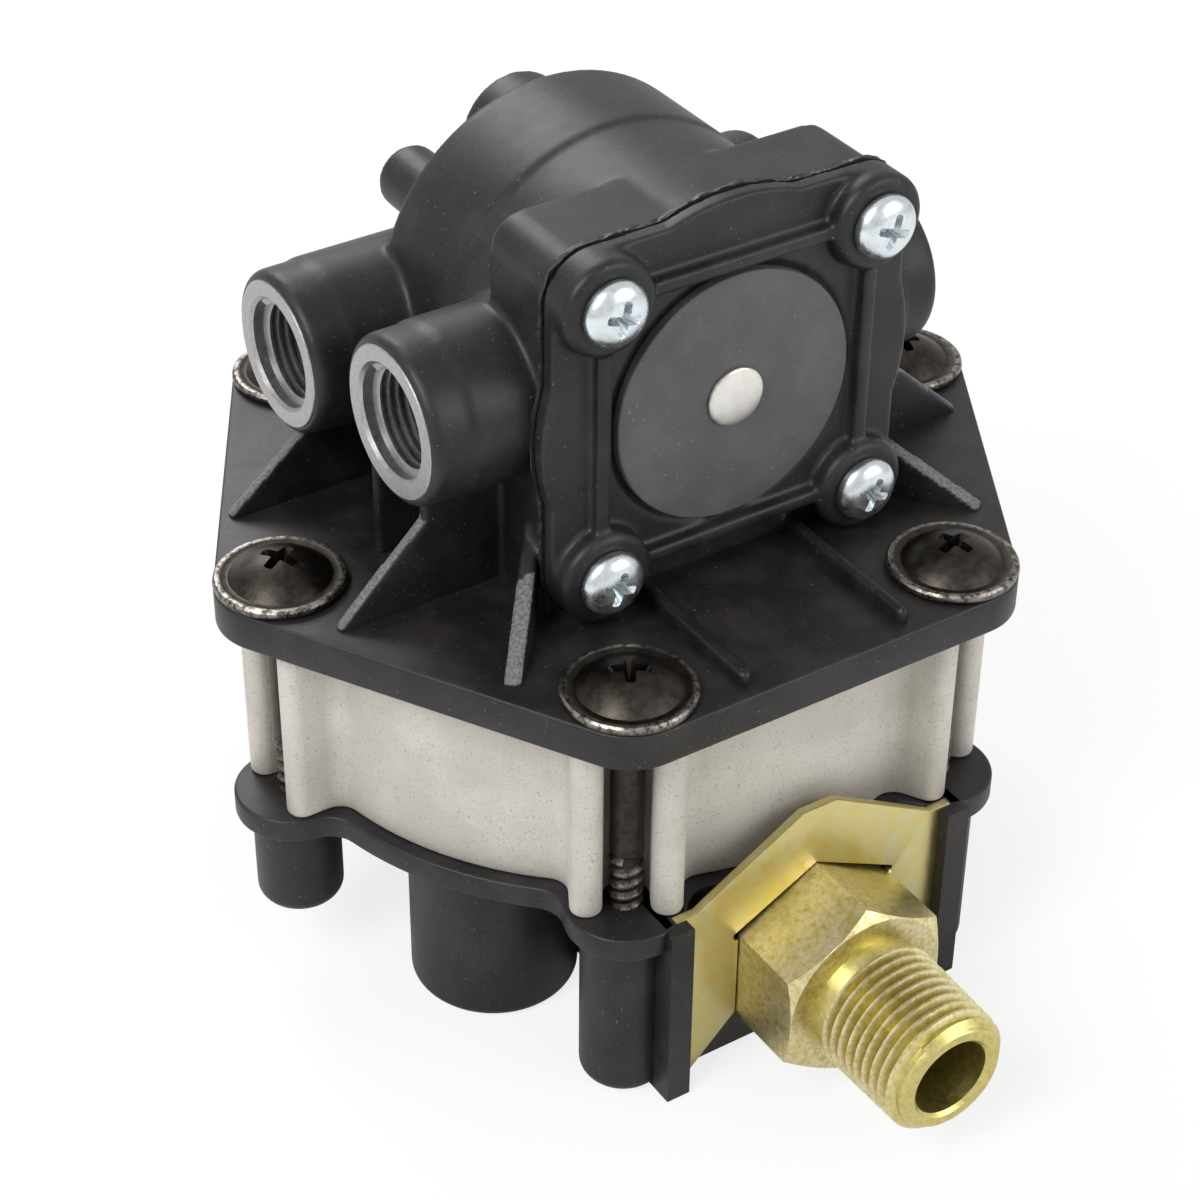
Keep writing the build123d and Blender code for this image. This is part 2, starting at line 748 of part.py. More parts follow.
with BuildPart() as nipple_insert:
    bar_along_y(-block_front, -block_front + nipple_inner_l, nipple_insert_r, 0, nipple_z)
    bar_along_y(
        -block_front, -block_front + nipple_inner_l, nipple_thread_r + fit_gap, 0, nipple_z, Mode.SUBTRACT
    )
nipple_insert.part.label = "nipple_insert"
export_step(nipple_insert.part, "parts/nipple_insert.step")

# Supply nipple: hexagon with a corner up, its outer corners chamfered, and a thread at each end
nipple_axis = Axis((0, 0, nipple_z), (0, 1, 0))
hex_corner_r = nipple_hex_af / math.sqrt(3)
hex_back = -block_front
hex_front = hex_back - nipple_hex_l
thread_start = hex_front - nipple_neck_l
thread_end = thread_start - nipple_thread_l
thread_chamfer = nipple_thread_r - nipple_neck_r
with BuildPart() as pipe_nipple:
    with BuildSketch(Plane.XZ.offset(-hex_back)):
        with Locations((0, nipple_z)):
            RegularPolygon(hex_corner_r, 6, rotation=30)
    extrude(amount=nipple_hex_l)
    with BuildSketch(Plane(origin=(0, 0, nipple_z), x_dir=(0, 1, 0), z_dir=(1, 0, 0))) as barrel:
        corner_drop = (hex_corner_r - nipple_hex_af / 2) * math.tan(math.radians(30))
        with BuildLine():
            Polyline(
                (hex_back, 0),
                (hex_back, hex_corner_r),
                (hex_front + corner_drop, hex_corner_r),
                (hex_front, nipple_hex_af / 2),
                (hex_front, 0),
                close=True,
            )
        make_face()
    revolve(barrel.sketch, axis=nipple_axis, mode=Mode.INTERSECT)
    bar_along_y(hex_front, thread_start, nipple_neck_r, 0, nipple_z)
    bar_along_y(thread_start, thread_end, nipple_thread_r, 0, nipple_z)
    chamfer(edges(Select.LAST).filter_by(GeomType.CIRCLE).sort_by(Axis.Y)[0], thread_chamfer)
    bar_along_y(hex_back, hex_back + nipple_inner_l, nipple_thread_r, 0, nipple_z)
    bar_along_y(thread_end, hex_back + nipple_inner_l, nipple_bore_r, 0, nipple_z, Mode.SUBTRACT)
pipe_nipple.part.label = "pipe_nipple"
export_step(pipe_nipple.part, "parts/pipe_nipple.step")

# Lock plate: an open fork over the hexagon, behind the lips of the posts
fork_half_w = nipple_hex_af / 2 + lock_gap
slope = math.tan(math.radians(lock_slope))
shoulder_rise = lock_top_rise - (lock_shoulder_w - lock_apex_w) * slope
fork_back = -block_front - lock_gap / 2
with BuildPart() as lock_plate:
    with BuildSketch(Plane(origin=(0, fork_back, nipple_z), x_dir=(1, 0, 0), z_dir=(0, -1, 0))):
        with BuildLine():
            Polyline(
                (0, lock_top_rise),
                (lock_apex_w, lock_top_rise),
                (lock_shoulder_w, shoulder_rise),
                (lock_half_w, shoulder_rise),
                (lock_half_w, -lock_leg_drop),
                (fork_half_w + lock_leg_drop - lock_flare_drop, -lock_leg_drop),
                (fork_half_w, -lock_flare_drop),
                (fork_half_w, fork_half_w * slope),
                (0, 2 * fork_half_w * slope),
                close=True,
            )
        make_face()
        mirror(about=Plane.YZ)
        with Locations((-fork_half_w, fork_half_w * slope), (fork_half_w, fork_half_w * slope)):
            Circle(lock_relief_r, mode=Mode.SUBTRACT)
    extrude(amount=lock_t)
lock_plate.part.label = "lock_plate"
export_step(lock_plate.part, "parts/lock_plate.step")

# Relay piston, turned: cup above, stem through the body's floor, nose over the poppet
seal_groove = piston_bottom + (piston_h - seal_h) / 2
piston_r = body_bore_r - slide_gap - 2 * fit_gap
seal_r = body_bore_r - slide_gap
nose_z = poppet_top + exhaust_gap
with BuildPart() as relay_piston:
    with BuildSketch(Plane.XZ):
        with BuildLine():
            Polyline(
                (0, nose_z + embed),
                (poppet_tube_bore_r + embed, nose_z + embed),
                (poppet_tube_bore_r + embed, nose_z),
                (piston_nose_r, nose_z),
                (piston_nose_r, floor_bottom - embed),
                (piston_stem_r, floor_bottom - embed),
                (piston_stem_r, piston_bottom),
                (piston_r, piston_bottom),
                (piston_r, seal_groove - fit_gap),
                (seal_r - seal_w - fit_gap, seal_groove - fit_gap),
                (seal_r - seal_w - fit_gap, seal_groove + seal_h + fit_gap),
                (piston_r, seal_groove + seal_h + fit_gap),
                (piston_r, piston_top),
                (piston_r - piston_rim_t, piston_top),
                (piston_r - piston_rim_t, piston_bottom + piston_web_t),
                (0, piston_bottom + piston_web_t),
                close=True,
            )
        make_face()
    revolve(axis=Axis.Z)
relay_piston.part.label = "relay_piston"
export_step(relay_piston.part, "parts/relay_piston.step")

with BuildPart() as piston_seal:
    disc_at(seal_groove, seal_r, seal_h, hole=seal_r - seal_w)
piston_seal.part.label = "piston_seal"
export_step(piston_seal.part, "parts/piston_seal.step")

# Relay poppet: a hollow stem under a flanged head with a bonded rubber washer
washer_z = poppet_top - washer_t
with BuildPart() as relay_poppet:
    disc_at(poppet_top - poppet_t, poppet_r, poppet_t - washer_t)
    disc_at(poppet_end_z, poppet_tube_r, poppet_top - poppet_t - poppet_end_z)
    bore_at(poppet_end_z, poppet_tube_bore_r, poppet_top - poppet_end_z)
relay_poppet.part.label = "relay_poppet"
export_step(relay_poppet.part, "parts/relay_poppet.step")

with BuildPart() as poppet_washer:
    disc_at(washer_z, poppet_r, washer_t, hole=poppet_tube_bore_r)
poppet_washer.part.label = "poppet_washer"
export_step(poppet_washer.part, "parts/poppet_washer.step")

# Guide that closes the inlet chamber, its seal, and the snap ring under it
with BuildPart() as poppet_guide:
    disc_at(guide_z, hub_bore_r - fit_gap, guide_t, hole=poppet_tube_r + slide_gap)
    with BuildSketch(Plane.XY.offset(guide_z + (guide_t - seal_h) / 2)):
        Circle(hub_bore_r)
        Circle(hub_bore_r - seal_w, mode=Mode.SUBTRACT)
    extrude(amount=seal_h, mode=Mode.SUBTRACT)
poppet_guide.part.label = "poppet_guide"
export_step(poppet_guide.part, "parts/poppet_guide.step")

with BuildPart() as guide_seal:
    disc_at(
        guide_z + (guide_t - seal_h) / 2 + fit_gap,
        hub_bore_r - fit_gap / 2,
        seal_h - 2 * fit_gap,
        hole=hub_bore_r - seal_w + fit_gap,
    )
guide_seal.part.label = "guide_seal"
export_step(guide_seal.part, "parts/guide_seal.step")

with BuildPart() as snap_ring:
    ring_z = guide_z - snap_ring_t
    disc_at(ring_z, hub_bore_r + snap_ring_depth - fit_gap, snap_ring_t, hole=hub_bore_r - snap_ring_w)
    with BuildSketch(Plane.XY.offset(ring_z)):
        with Locations((0, hub_bore_r)):
            Rectangle(2 * snap_ring_w, 4 * snap_ring_w)
    extrude(amount=snap_ring_t, mode=Mode.SUBTRACT)
snap_ring.part.label = "snap_ring"
export_step(snap_ring.part, "parts/snap_ring.step")

# Control piston on the drum's axis
control_back = control_stop_y + control_piston_t
control_groove = control_stop_y + (control_piston_t - seal_h) / 2
control_seal_r = control_bore_r - slide_gap
control_r = control_seal_r - 2 * fit_gap
with BuildPart() as control_piston:
    with BuildSketch(drum_side):
        with BuildLine():
            Polyline(
                (control_stop_y + piston_web_t, 0),
                (control_stem_end, 0),
                (control_stem_end, control_stem_r),
                (control_back, control_stem_r),
                (control_back, control_r),
                (control_groove + seal_h + fit_gap, control_r),
                (control_groove + seal_h + fit_gap, control_seal_r - seal_w - fit_gap),
                (control_groove - fit_gap, control_seal_r - seal_w - fit_gap),
                (control_groove - fit_gap, control_r),
                (control_stop_y, control_r),
                (control_stop_y, control_stem_r * 2),
                (control_stop_y + piston_web_t, control_stem_r * 2),
                close=True,
            )
        make_face()
    revolve(axis=drum_axis)
control_piston.part.label = "control_piston"
export_step(control_piston.part, "parts/control_piston.step")

with BuildPart() as control_seal:
    seal_end = control_groove + seal_h
    bar_along_y(control_groove, seal_end, control_seal_r, 0, drum_z)
    bar_along_y(control_groove, seal_end, control_seal_r - seal_w, 0, drum_z, Mode.SUBTRACT)
control_seal.part.label = "control_seal"
export_step(control_seal.part, "parts/control_seal.step")

# Check valve in its pocket, and the plate that carries its stem
check_top = body_top + check_pocket_h - fit_gap
with BuildPart() as check_poppet:
    with BuildSketch(Plane.XY.offset(check_top - check_disc_t)):
        with Locations((check_x, rear_port_y)):
            Circle(check_disc_r)
    extrude(amount=check_disc_t)
    with BuildSketch(Plane.XY.offset(body_top + check_plate_t / 2)):
        with Locations((check_x, rear_port_y)):
            Circle(check_stem_r)
    extrude(amount=check_top - check_disc_t - body_top - check_plate_t / 2)
check_poppet.part.label = "check_poppet"
export_step(check_poppet.part, "parts/check_poppet.step")

with BuildPart() as check_plate:
    with BuildSketch(Plane.XY.offset(body_top + fit_gap)):
        with Locations((check_x, rear_port_y)):
            Circle(check_pocket_r - fit_gap)
            Circle(check_stem_r + slide_gap, mode=Mode.SUBTRACT)
            with PolarLocations((check_pocket_r + check_stem_r) / 2, 4):
                Circle(check_stem_r / 2, mode=Mode.SUBTRACT)
    extrude(amount=check_plate_t)
check_plate.part.label = "check_plate"
export_step(check_plate.part, "parts/check_plate.step")

# Springs
relay_spring = spring_coil(
    Plane.XY.offset(floor_top), relay_spring_r, relay_spring_wire, relay_spring_turns, piston_bottom - floor_top
)
relay_spring.label = "relay_spring"
export_step(relay_spring, "parts/relay_spring.step")

poppet_spring = spring_coil(
    Plane.XY.offset(guide_z + guide_t),
    poppet_spring_r,
    poppet_spring_wire,
    poppet_spring_turns,
    poppet_top - poppet_t - guide_z - guide_t,
)
poppet_spring.label = "poppet_spring"
export_step(poppet_spring, "parts/poppet_spring.step")

control_spring = spring_coil(
    Plane(origin=(0, control_back, drum_z), z_dir=(0, 1, 0)),
    control_spring_r,
    control_spring_wire,
    control_spring_turns,
    control_bore_end - control_back,
)
control_spring.label = "control_spring"
export_step(control_spring, "parts/control_spring.step")

check_spring = spring_coil(
    Plane(origin=(check_x, rear_port_y, body_top + fit_gap + check_plate_t)),
    check_spring_r,
    check_spring_wire,
    check_spring_turns,
    check_top - check_disc_t - body_top - fit_gap - check_plate_t,
)
check_spring.label = "check_spring"
export_step(check_spring, "parts/check_spring.step")
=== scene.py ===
import math
import random
import bmesh
import bpy
from mathutils import Matrix, Vector, noise


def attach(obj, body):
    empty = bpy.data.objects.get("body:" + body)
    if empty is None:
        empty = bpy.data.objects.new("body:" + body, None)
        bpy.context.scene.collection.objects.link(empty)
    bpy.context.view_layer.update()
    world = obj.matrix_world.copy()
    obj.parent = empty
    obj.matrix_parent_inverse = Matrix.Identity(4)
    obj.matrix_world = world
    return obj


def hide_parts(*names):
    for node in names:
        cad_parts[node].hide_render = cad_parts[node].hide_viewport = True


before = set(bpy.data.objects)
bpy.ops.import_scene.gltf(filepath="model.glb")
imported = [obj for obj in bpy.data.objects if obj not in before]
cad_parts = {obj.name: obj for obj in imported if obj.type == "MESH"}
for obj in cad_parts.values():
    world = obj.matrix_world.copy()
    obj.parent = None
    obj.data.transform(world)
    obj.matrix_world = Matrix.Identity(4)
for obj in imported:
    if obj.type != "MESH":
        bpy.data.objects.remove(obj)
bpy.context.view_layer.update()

print("frame loaded", len(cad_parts), "nodes")

random.seed(7)
toMetres = Matrix.Scale(0.001, 4)  # shapes are drawn in millimetres

# levels and places that the solids share, in millimetres
stack = {
    "plateBottom": 29.5, "plateTop": 33.5, "bodyTop": 65.5, "flangeTop": 71.5,
    "drumZ": 101.3, "screwCircle": 56.5, "padFace": -27.7, "coverBack": -28.5, "coverFace": -31.1,
    "nippleZ": 17.8, "blockFront": -55.8,
}
ports = [  # name, side, face, y, z
    ("left_front", -1, 45.7, -14.9, 103.1),
    ("left_rear", -1, 45.7, 18.6, 96.7),
    ("right_front", 1, 40.0, -14.9, 103.1),
    ("right_rear", 1, 40.0, 18.6, 96.7),
]


# ---- shader maths ----
class Value:
    # A socket that can be used in sums
    def __init__(self, finish, socket):
        self.finish, self.socket = finish, socket

    def sum(self, operation, first, second):
        return self.finish.node("ShaderNodeMath", {"operation": operation}, {0: first, 1: second})

    def __add__(self, other):
        return self.sum("ADD", self, other)

    __radd__ = __add__

    def __sub__(self, other):
        return self.sum("SUBTRACT", self, other)

    def __rsub__(self, other):
        return self.sum("SUBTRACT", other, self)

    def __mul__(self, other):
        return self.sum("MULTIPLY", self, other)

    __rmul__ = __mul__

    def __gt__(self, other):
        return self.sum("GREATER_THAN", self, other)


class Finish:
    # One material with a single Principled shader
    def __init__(self, name, **steady):
        self.material = bpy.data.materials.new(name)
        self.material.use_nodes = True
        self.tree = self.material.node_tree
        self.tree.nodes.clear()
        self.shader = self.tree.nodes.new("ShaderNodeBsdfPrincipled")
        output = self.tree.nodes.new("ShaderNodeOutputMaterial")
        self.tree.links.new(self.shader.outputs[0], output.inputs[0])
        for socket, value in steady.items():
            self.shader.inputs[socket.replace("_", " ")].default_value = value
        spot = self.tree.nodes.new("ShaderNodeTexCoord")
        self.spot = Value(self, spot.outputs["Object"])

    def node(self, kind, settings=None, values=None, output=0):
        made = self.tree.nodes.new(kind)
        for key, value in (settings or {}).items():
            if key == "stops":
                ramp = made.color_ramp
                for number, (place, colour) in enumerate(value):
                    stop = ramp.elements[number] if number < 2 else ramp.elements.new(place)
                    stop.position, stop.color = place, colour
            else:
                setattr(made, key, value)
        for key, value in (values or {}).items():
            if isinstance(value, Value):
                self.tree.links.new(value.socket, made.inputs[key])
            else:
                made.inputs[key].default_value = value
        return Value(self, made.outputs[output])

    def grain(self, size, detail=3.0, rough=0.55, stretch=(1, 1, 1), turn=(0, 0, 0), at=(0, 0, 0)):
        # Noise whose cells are about size millimetres across
        placed = self.node(
            "ShaderNodeMapping",
            {"vector_type": "POINT"},
            {"Vector": self.spot, "Scale": stretch, "Rotation": turn, "Location": at},
        )
        return self.node(
            "ShaderNodeTexNoise",
            {"noise_dimensions": "3D"},
            {"Vector": placed, "Scale": 1000 / size, "Detail": detail, "Roughness": rough},
        )

    def step(self, value, low, high):
        # 0 below low, 1 above high
        return self.node(
            "ShaderNodeMapRange",
            {"interpolation_type": "SMOOTHSTEP"},
            {"Value": value, "From Min": low, "From Max": high},
        )

    def mix(self, factor, first, second):
        return self.node(
            "ShaderNodeMix", {"data_type": "RGBA"}, {0: factor, 6: (*first, 1) if isinstance(first, tuple) else first,
            7: (*second, 1) if isinstance(second, tuple) else second}, output=2,
        )

    def attribute(self, name):
        return self.node("ShaderNodeAttribute", {"attribute_name": name}, output=2)

    def bump(self, height, depth, strength=1.0):
        # depth in millimetres for a height of 1
        return self.node(
            "ShaderNodeBump", {}, {"Height": height, "Distance": depth * 0.001, "Strength": strength}
        )

    def put(self, socket, value):
        self.tree.links.new(value.socket, self.shader.inputs[socket])


# black glass-filled nylon, cloudy, with fine scratches and specks
def nylon(name, level=1.0, sheen=0.34, scratch=0.5, fibres=0.0):
    finish = Finish(name, Specular_IOR_Level=sheen)
    clouds = finish.grain(9, 4, 0.6)
    blotch = finish.grain(2.2, 3, 0.6)
    specks = finish.step(finish.grain(0.5, 1, 0.5, at=(5, 2, 1)), 0.735, 0.76)
    strokes = finish.step(finish.grain(0.55, 1, 0.5, (1, 0.03, 0.6), (0, 0, 0.72)), 0.665, 0.72)
    strokes = strokes * finish.step(clouds, 0.5, 0.62) * scratch
    dark = tuple(c * level for c in (0.0075, 0.0072, 0.0078))
    brown = tuple(c * level for c in (0.018, 0.0155, 0.0145))
    base = finish.mix(finish.step(clouds, 0.38, 0.68), dark, brown)
    base = finish.mix(specks * 0.5, base, (0.16, 0.155, 0.15))
    base = finish.mix(strokes * 0.35, base, (0.09, 0.08, 0.07))
    fine = finish.grain(0.45, 4, 0.65)
    pale = finish.attribute("pale")  # trimmed tops of the webs
    fuzz = finish.mix(finish.step(fine, 0.3, 0.7), (0.075, 0.074, 0.076), (0.19, 0.188, 0.19))
    finish.put("Base Color", finish.mix(pale, base, fuzz))
    finish.put("Roughness", 0.34 + 0.14 * clouds + 0.1 * blotch + 0.15 * strokes + 0.2 * pale)
    height = fine * (0.5 + 1.2 * pale) + blotch * 0.8 - strokes * 0.6 + specks * 0.6
    if fibres:
        height = height + fibres * finish.grain(0.5, 3, 0.7, (0.25, 0.25, 1.6))
    finish.put("Normal", finish.bump(height, 0.035))
    return finish.material


# blasted cast aluminium
def castAluminium(name):
    finish = Finish(name, Metallic=0.55)
    grit = finish.grain(0.42, 3, 0.65)
    clouds = finish.grain(14, 3, 0.55)
    stain = finish.step(finish.grain(5, 4, 0.6), 0.55, 0.75)
    base = finish.mix(finish.step(clouds, 0.35, 0.68), (0.50, 0.475, 0.43), (0.58, 0.555, 0.51))
    base = finish.mix(stain * 0.3, base, (0.44, 0.415, 0.37))
    base = finish.mix(finish.step(grit, 0.32, 0.44), (0.36, 0.34, 0.31), base)
    finish.put("Base Color", base)
    finish.put("Roughness", 0.62 + 0.12 * grit)
    finish.put("Normal", finish.bump(grit + 0.4 * clouds, 0.06))
    return finish.material


# plated or bare metal with mottling, fine strokes and worn edges from a per-vertex attribute; on the long screws'
# thread crests that attribute also paints highlight lines
def metal(name, colour, other, worn, rough=0.3, spread=0.2, size=1.5, strokes=0.2, depth=0.01, full=1.0):
    finish = Finish(name, Metallic=full)
    mottle = finish.grain(size, 4, 0.65)
    fine = finish.grain(0.25, 2, 0.6)
    lines = finish.grain(0.35, 2, 0.6, (0.08, 1, 1), (0.3, 0.2, 0.9))
    wearAndGlint = finish.attribute("wearAndGlint") * finish.step(finish.grain(0.9, 4, 0.7, at=(3, 3, 3)), 0.36, 0.6)
    base = finish.mix(finish.step(mottle, 0.34, 0.66), colour, other)
    finish.put("Base Color", finish.mix(wearAndGlint, base, worn))
    finish.put("Roughness", rough + spread * (mottle - 0.5) + 0.08 * fine - 0.06 * wearAndGlint)
    finish.put("Normal", finish.bump(fine * 0.6 + lines * strokes * 3 + mottle, depth))
    return finish.material


# moulded rubber
def rubber(name, colour, paler, rough=0.6, depth=0.02):
    finish = Finish(name, Specular_IOR_Level=0.42)
    clouds = finish.grain(7, 4, 0.6)
    fine = finish.grain(0.35, 2, 0.6)
    dust = finish.step(finish.grain(0.6, 1, 0.5), 0.74, 0.77)
    base = finish.mix(finish.step(clouds, 0.35, 0.7), colour, paler)
    finish.put("Base Color", finish.mix(dust * 0.35, base, (0.3, 0.3, 0.3)))
    finish.put("Roughness", rough + 0.14 * (clouds - 0.5) + 0.08 * fine)
    finish.put("Normal", finish.bump(fine + clouds * 2, depth))
    return finish.material


looks = {
    "nylon": nylon("blackNylon"),
    "flakes": nylon("gasketFlakes", 0.8, 0.5, 0.0, 2.5),
    "cast": castAluminium("castAluminium"),
    "oxide": metal("blackOxide", (0.028, 0.025, 0.022), (0.05, 0.042, 0.035), (0.36, 0.33, 0.29), 0.36, 0.22, 1.6, 0.15, 0.03),
    "bright": metal("brightZinc", (0.60, 0.65, 0.68), (0.70, 0.74, 0.76), (0.8, 0.82, 0.83), 0.24, 0.14, 1.2, 0.25, 0.012),
    "gold": metal("yellowZinc", (0.56, 0.45, 0.17), (0.52, 0.49, 0.26), (0.78, 0.68, 0.48), 0.33, 0.2, 2.6, 0.25, 0.015),
    "brassy": metal("nippleZinc", (0.50, 0.43, 0.14), (0.60, 0.53, 0.22), (0.78, 0.7, 0.52), 0.34, 0.26, 1.1, 0.3, 0.02),
    "turned": metal("turnedSteel", (0.30, 0.30, 0.295), (0.38, 0.38, 0.37), (0.6, 0.6, 0.58), 0.36, 0.2, 0.8, 0.3, 0.02),
    "nickel": metal("satinNickel", (0.66, 0.645, 0.59), (0.72, 0.71, 0.68), (0.5, 0.44, 0.34), 0.34, 0.18, 1.6, 0.2, 0.012, 0.9),
    "disc": rubber("discRubber", (0.070, 0.070, 0.073), (0.090, 0.090, 0.093)),
    "seal": rubber("sealRubber", (0.018, 0.018, 0.018), (0.026, 0.026, 0.026), 0.5),
    "alloy": metal("turnedAlloy", (0.55, 0.55, 0.55), (0.62, 0.62, 0.61), (0.75, 0.75, 0.75), 0.3, 0.15, 1.0, 0.3, 0.01),
    "wire": metal("springWire", (0.36, 0.36, 0.35), (0.44, 0.43, 0.41), (0.6, 0.6, 0.6), 0.32, 0.15, 0.8, 0.2, 0.01),
}
print("materials", len(looks))


# ---- drawing helpers, all in millimetres ----
def axes(origin, forward, right=None):
    # Frame whose local z points forward, and local x to the right if that is given
    z = Vector(forward).normalized()
    x = Vector(right).normalized() if right else z.orthogonal().normalized()
    y = z.cross(x)
    return Matrix.Translation(origin) @ Matrix((x, y, z)).transposed().to_4x4()


class Outline:
    # A closed line in a plane of its own, drawn with lines and arcs
    def __init__(self, x, y):
        self.bm = bmesh.new()
        self.tip = self.bm.verts.new((x, y, 0))

    def line(self, x, y):
        grown = bmesh.ops.extrude_vert_indiv(self.bm, verts=[self.tip])
        self.tip = grown["verts"][0]
        self.tip.co = (x, y, 0)
        return self

    def arc(self, x, y, degrees, steps=8):
        swept = bmesh.ops.spin(
            self.bm, geom=[self.tip], cent=(x, y, 0), axis=(0, 0, 1), dvec=(0, 0, 0),
            angle=math.radians(degrees), steps=steps, use_merge=False,
        )
        self.tip = swept["geom_last"][0]
        return self

    def mirrored(self):
        # Adds the other half across the y axis
        bmesh.ops.mirror(self.bm, geom=self.bm.verts[:] + self.bm.edges[:], axis="X", merge_dist=1e-4)
        return self

    def around(self, count):
        # Repeats the stretch round the origin
        one = self.bm.verts[:] + self.bm.edges[:]
        for turn in range(1, count):
            copy = bmesh.ops.duplicate(self.bm, geom=one)["geom"]
            bmesh.ops.rotate(
                self.bm, verts=[g for g in copy if isinstance(g, bmesh.types.BMVert)],
                cent=(0, 0, 0), matrix=Matrix.Rotation(math.tau * turn / count, 3, "Z"),
            )
        return self

    def rise(self, target, place, depth, rim=0.0, segments=3, foot=True):
        # Solid of that depth over the outline, placed in the target, with its end edges rounded by rim
        bm = self.bm
        bmesh.ops.remove_doubles(bm, verts=bm.verts, dist=1e-3)
        bmesh.ops.contextual_create(bm, geom=bm.edges[:])
        face = bm.faces[:][0]
        if face.normal.z > 0:
            face.normal_flip()
        top = bmesh.ops.extrude_face_region(bm, geom=[face])
        bmesh.ops.translate(bm, vec=(0, 0, depth), verts=[g for g in top["geom"] if isinstance(g, bmesh.types.BMVert)])
        if rim:
            ends = [f for f in bm.faces if abs(f.normal.z) > 0.9 and (foot or f.calc_center_median().z > depth / 2)]
            bmesh.ops.bevel(
                bm, geom=list({e for f in ends for e in f.edges}), offset=rim, offset_type="OFFSET",
                segments=segments, profile=0.5, affect="EDGES", material=-1, clamp_overlap=True,
            )
        place_(target, bm, place)


def place_(target, bm, place):
    # Moves a finished solid into the target mesh
    bmesh.ops.transform(bm, matrix=place, verts=bm.verts)
    bmesh.ops.recalc_face_normals(bm, faces=bm.faces)
    mesh = bpy.data.meshes.new("part")
    bm.to_mesh(mesh)
    bm.free()
    target.from_mesh(mesh)
    bpy.data.meshes.remove(mesh)


def lathe(target, origin, axis, profile, steps=128, ring=False, jitter=0.0):
    # Turned solid: profile is (radius, distance along the axis); a ring profile closes on itself
    bm = bmesh.new()
    line = [bm.verts.new((r, 0, h)) for r, h in profile]
    pairs = list(zip(line, line[1:])) + ([(line[-1], line[0])] if ring else [])
    edges = [bm.edges.new(pair) for pair in pairs]
    bmesh.ops.spin(
        bm, geom=line + edges, cent=(0, 0, 0), axis=(0, 0, 1), dvec=(0, 0, 0),
        angle=math.tau, steps=steps, use_merge=True,
    )
    bmesh.ops.remove_doubles(bm, verts=bm.verts, dist=1e-4)
    if jitter:
        for vert in bm.verts:
            flat = Vector((vert.co.x, vert.co.y, 0))
            push = noise.noise(Vector(vert.co) * 0.9 + Vector(origin)) + 0.6 * noise.noise(Vector(vert.co) * 2.7)
            vert.co += flat.normalized() * push * jitter
    place_(target, bm, axes(origin, axis))


def softEdge(radius, height, rim, steps=4, inward=0.0):
    # Profile points that round an outer edge at (radius, height), going up then in
    return [
        (radius - rim + rim * math.cos(a), height - rim + rim * math.sin(a))
        for a in (math.pi / 2 * n / steps for n in range(steps + 1))
    ]


def thread(target, origin, axis, radius, pitch, length, height, inward=False, taper=0.0, steps=36, crest=0.12):
    # Helical ridge, closed at its ends, that stands on a core or lines a bore
    bm = bmesh.new()
    side = -1 if inward else 1
    tip = radius + side * height
    half = pitch * 0.46
    section = [(radius - side * 0.25, -half), (radius, -half), (tip, -pitch * crest), (tip, pitch * crest), (radius, half),
               (radius - side * 0.25, half)]
    line = [bm.verts.new((r, 0, h)) for r, h in section]
    face = bm.faces.new(line)
    turns = (length - 2 * half) / pitch
    swept = bmesh.ops.spin(
        bm, geom=[face], cent=(0, 0, 0), axis=(0, 0, 1), dvec=(0, 0, pitch / steps),
        angle=math.tau * turns, steps=round(turns * steps), use_merge=False,
    )
    bmesh.ops.translate(bm, vec=(0, 0, half), verts=bm.verts)
    if taper:
        for vert in bm.verts:
            vert.co.xy *= 1 - taper * vert.co.z / radius
    place_(target, bm, axes(origin, axis))


def box(target, low, high, rim=0.0):
    (ax, ay, az), (bx, by, bz) = low, high
    outline = Outline(ax, ay).line(bx, ay).line(bx, by).line(ax, by).line(ax, ay)
    outline.rise(target, Matrix.Translation((0, 0, az)), bz - az, rim)


def slopedWeb(target, root, foot, inward, lowH, highH, thickness):
    # Upright web on the flange whose top slopes from the root down to the foot
    run = Vector((foot[0] - root[0], foot[1] - root[1], 0))
    place = axes((root[0], root[1], stack["flangeTop"]), run.normalized().cross(Vector((0, 0, 1))), run.normalized())
    outline = Outline(-inward, -1).line(run.length, -1).line(run.length, 0.6).line(0, lowH).line(0, highH)
    outline.line(-inward, highH).line(-inward, -1)
    outline.rise(target, place @ Matrix.Translation((0, 0, -thickness / 2)), thickness, 0.12, 1)


def fused(bm, voxel, rounds, factor=0.5):
    # One skin round all solids in the mesh, its edges and inner corners softened
    mesh = bpy.data.meshes.new("rough")
    bm.to_mesh(mesh)
    bm.free()
    rough = bpy.data.objects.new("rough", mesh)
    bpy.context.scene.collection.objects.link(rough)
    skin = rough.modifiers.new("skin", "REMESH")
    skin.mode, skin.voxel_size, skin.adaptivity = "VOXEL", voxel * 1, 0.0
    made = bpy.data.meshes.new_from_object(rough.evaluated_get(bpy.context.evaluated_depsgraph_get()))
    bpy.data.objects.remove(rough)
    out = bmesh.new()
    out.from_mesh(made)
    bpy.data.meshes.remove(made)
    for turn in range(rounds):
        bmesh.ops.smooth_vert(out, verts=out.verts, factor=factor, use_axis_x=True, use_axis_y=True, use_axis_z=True)
    return out


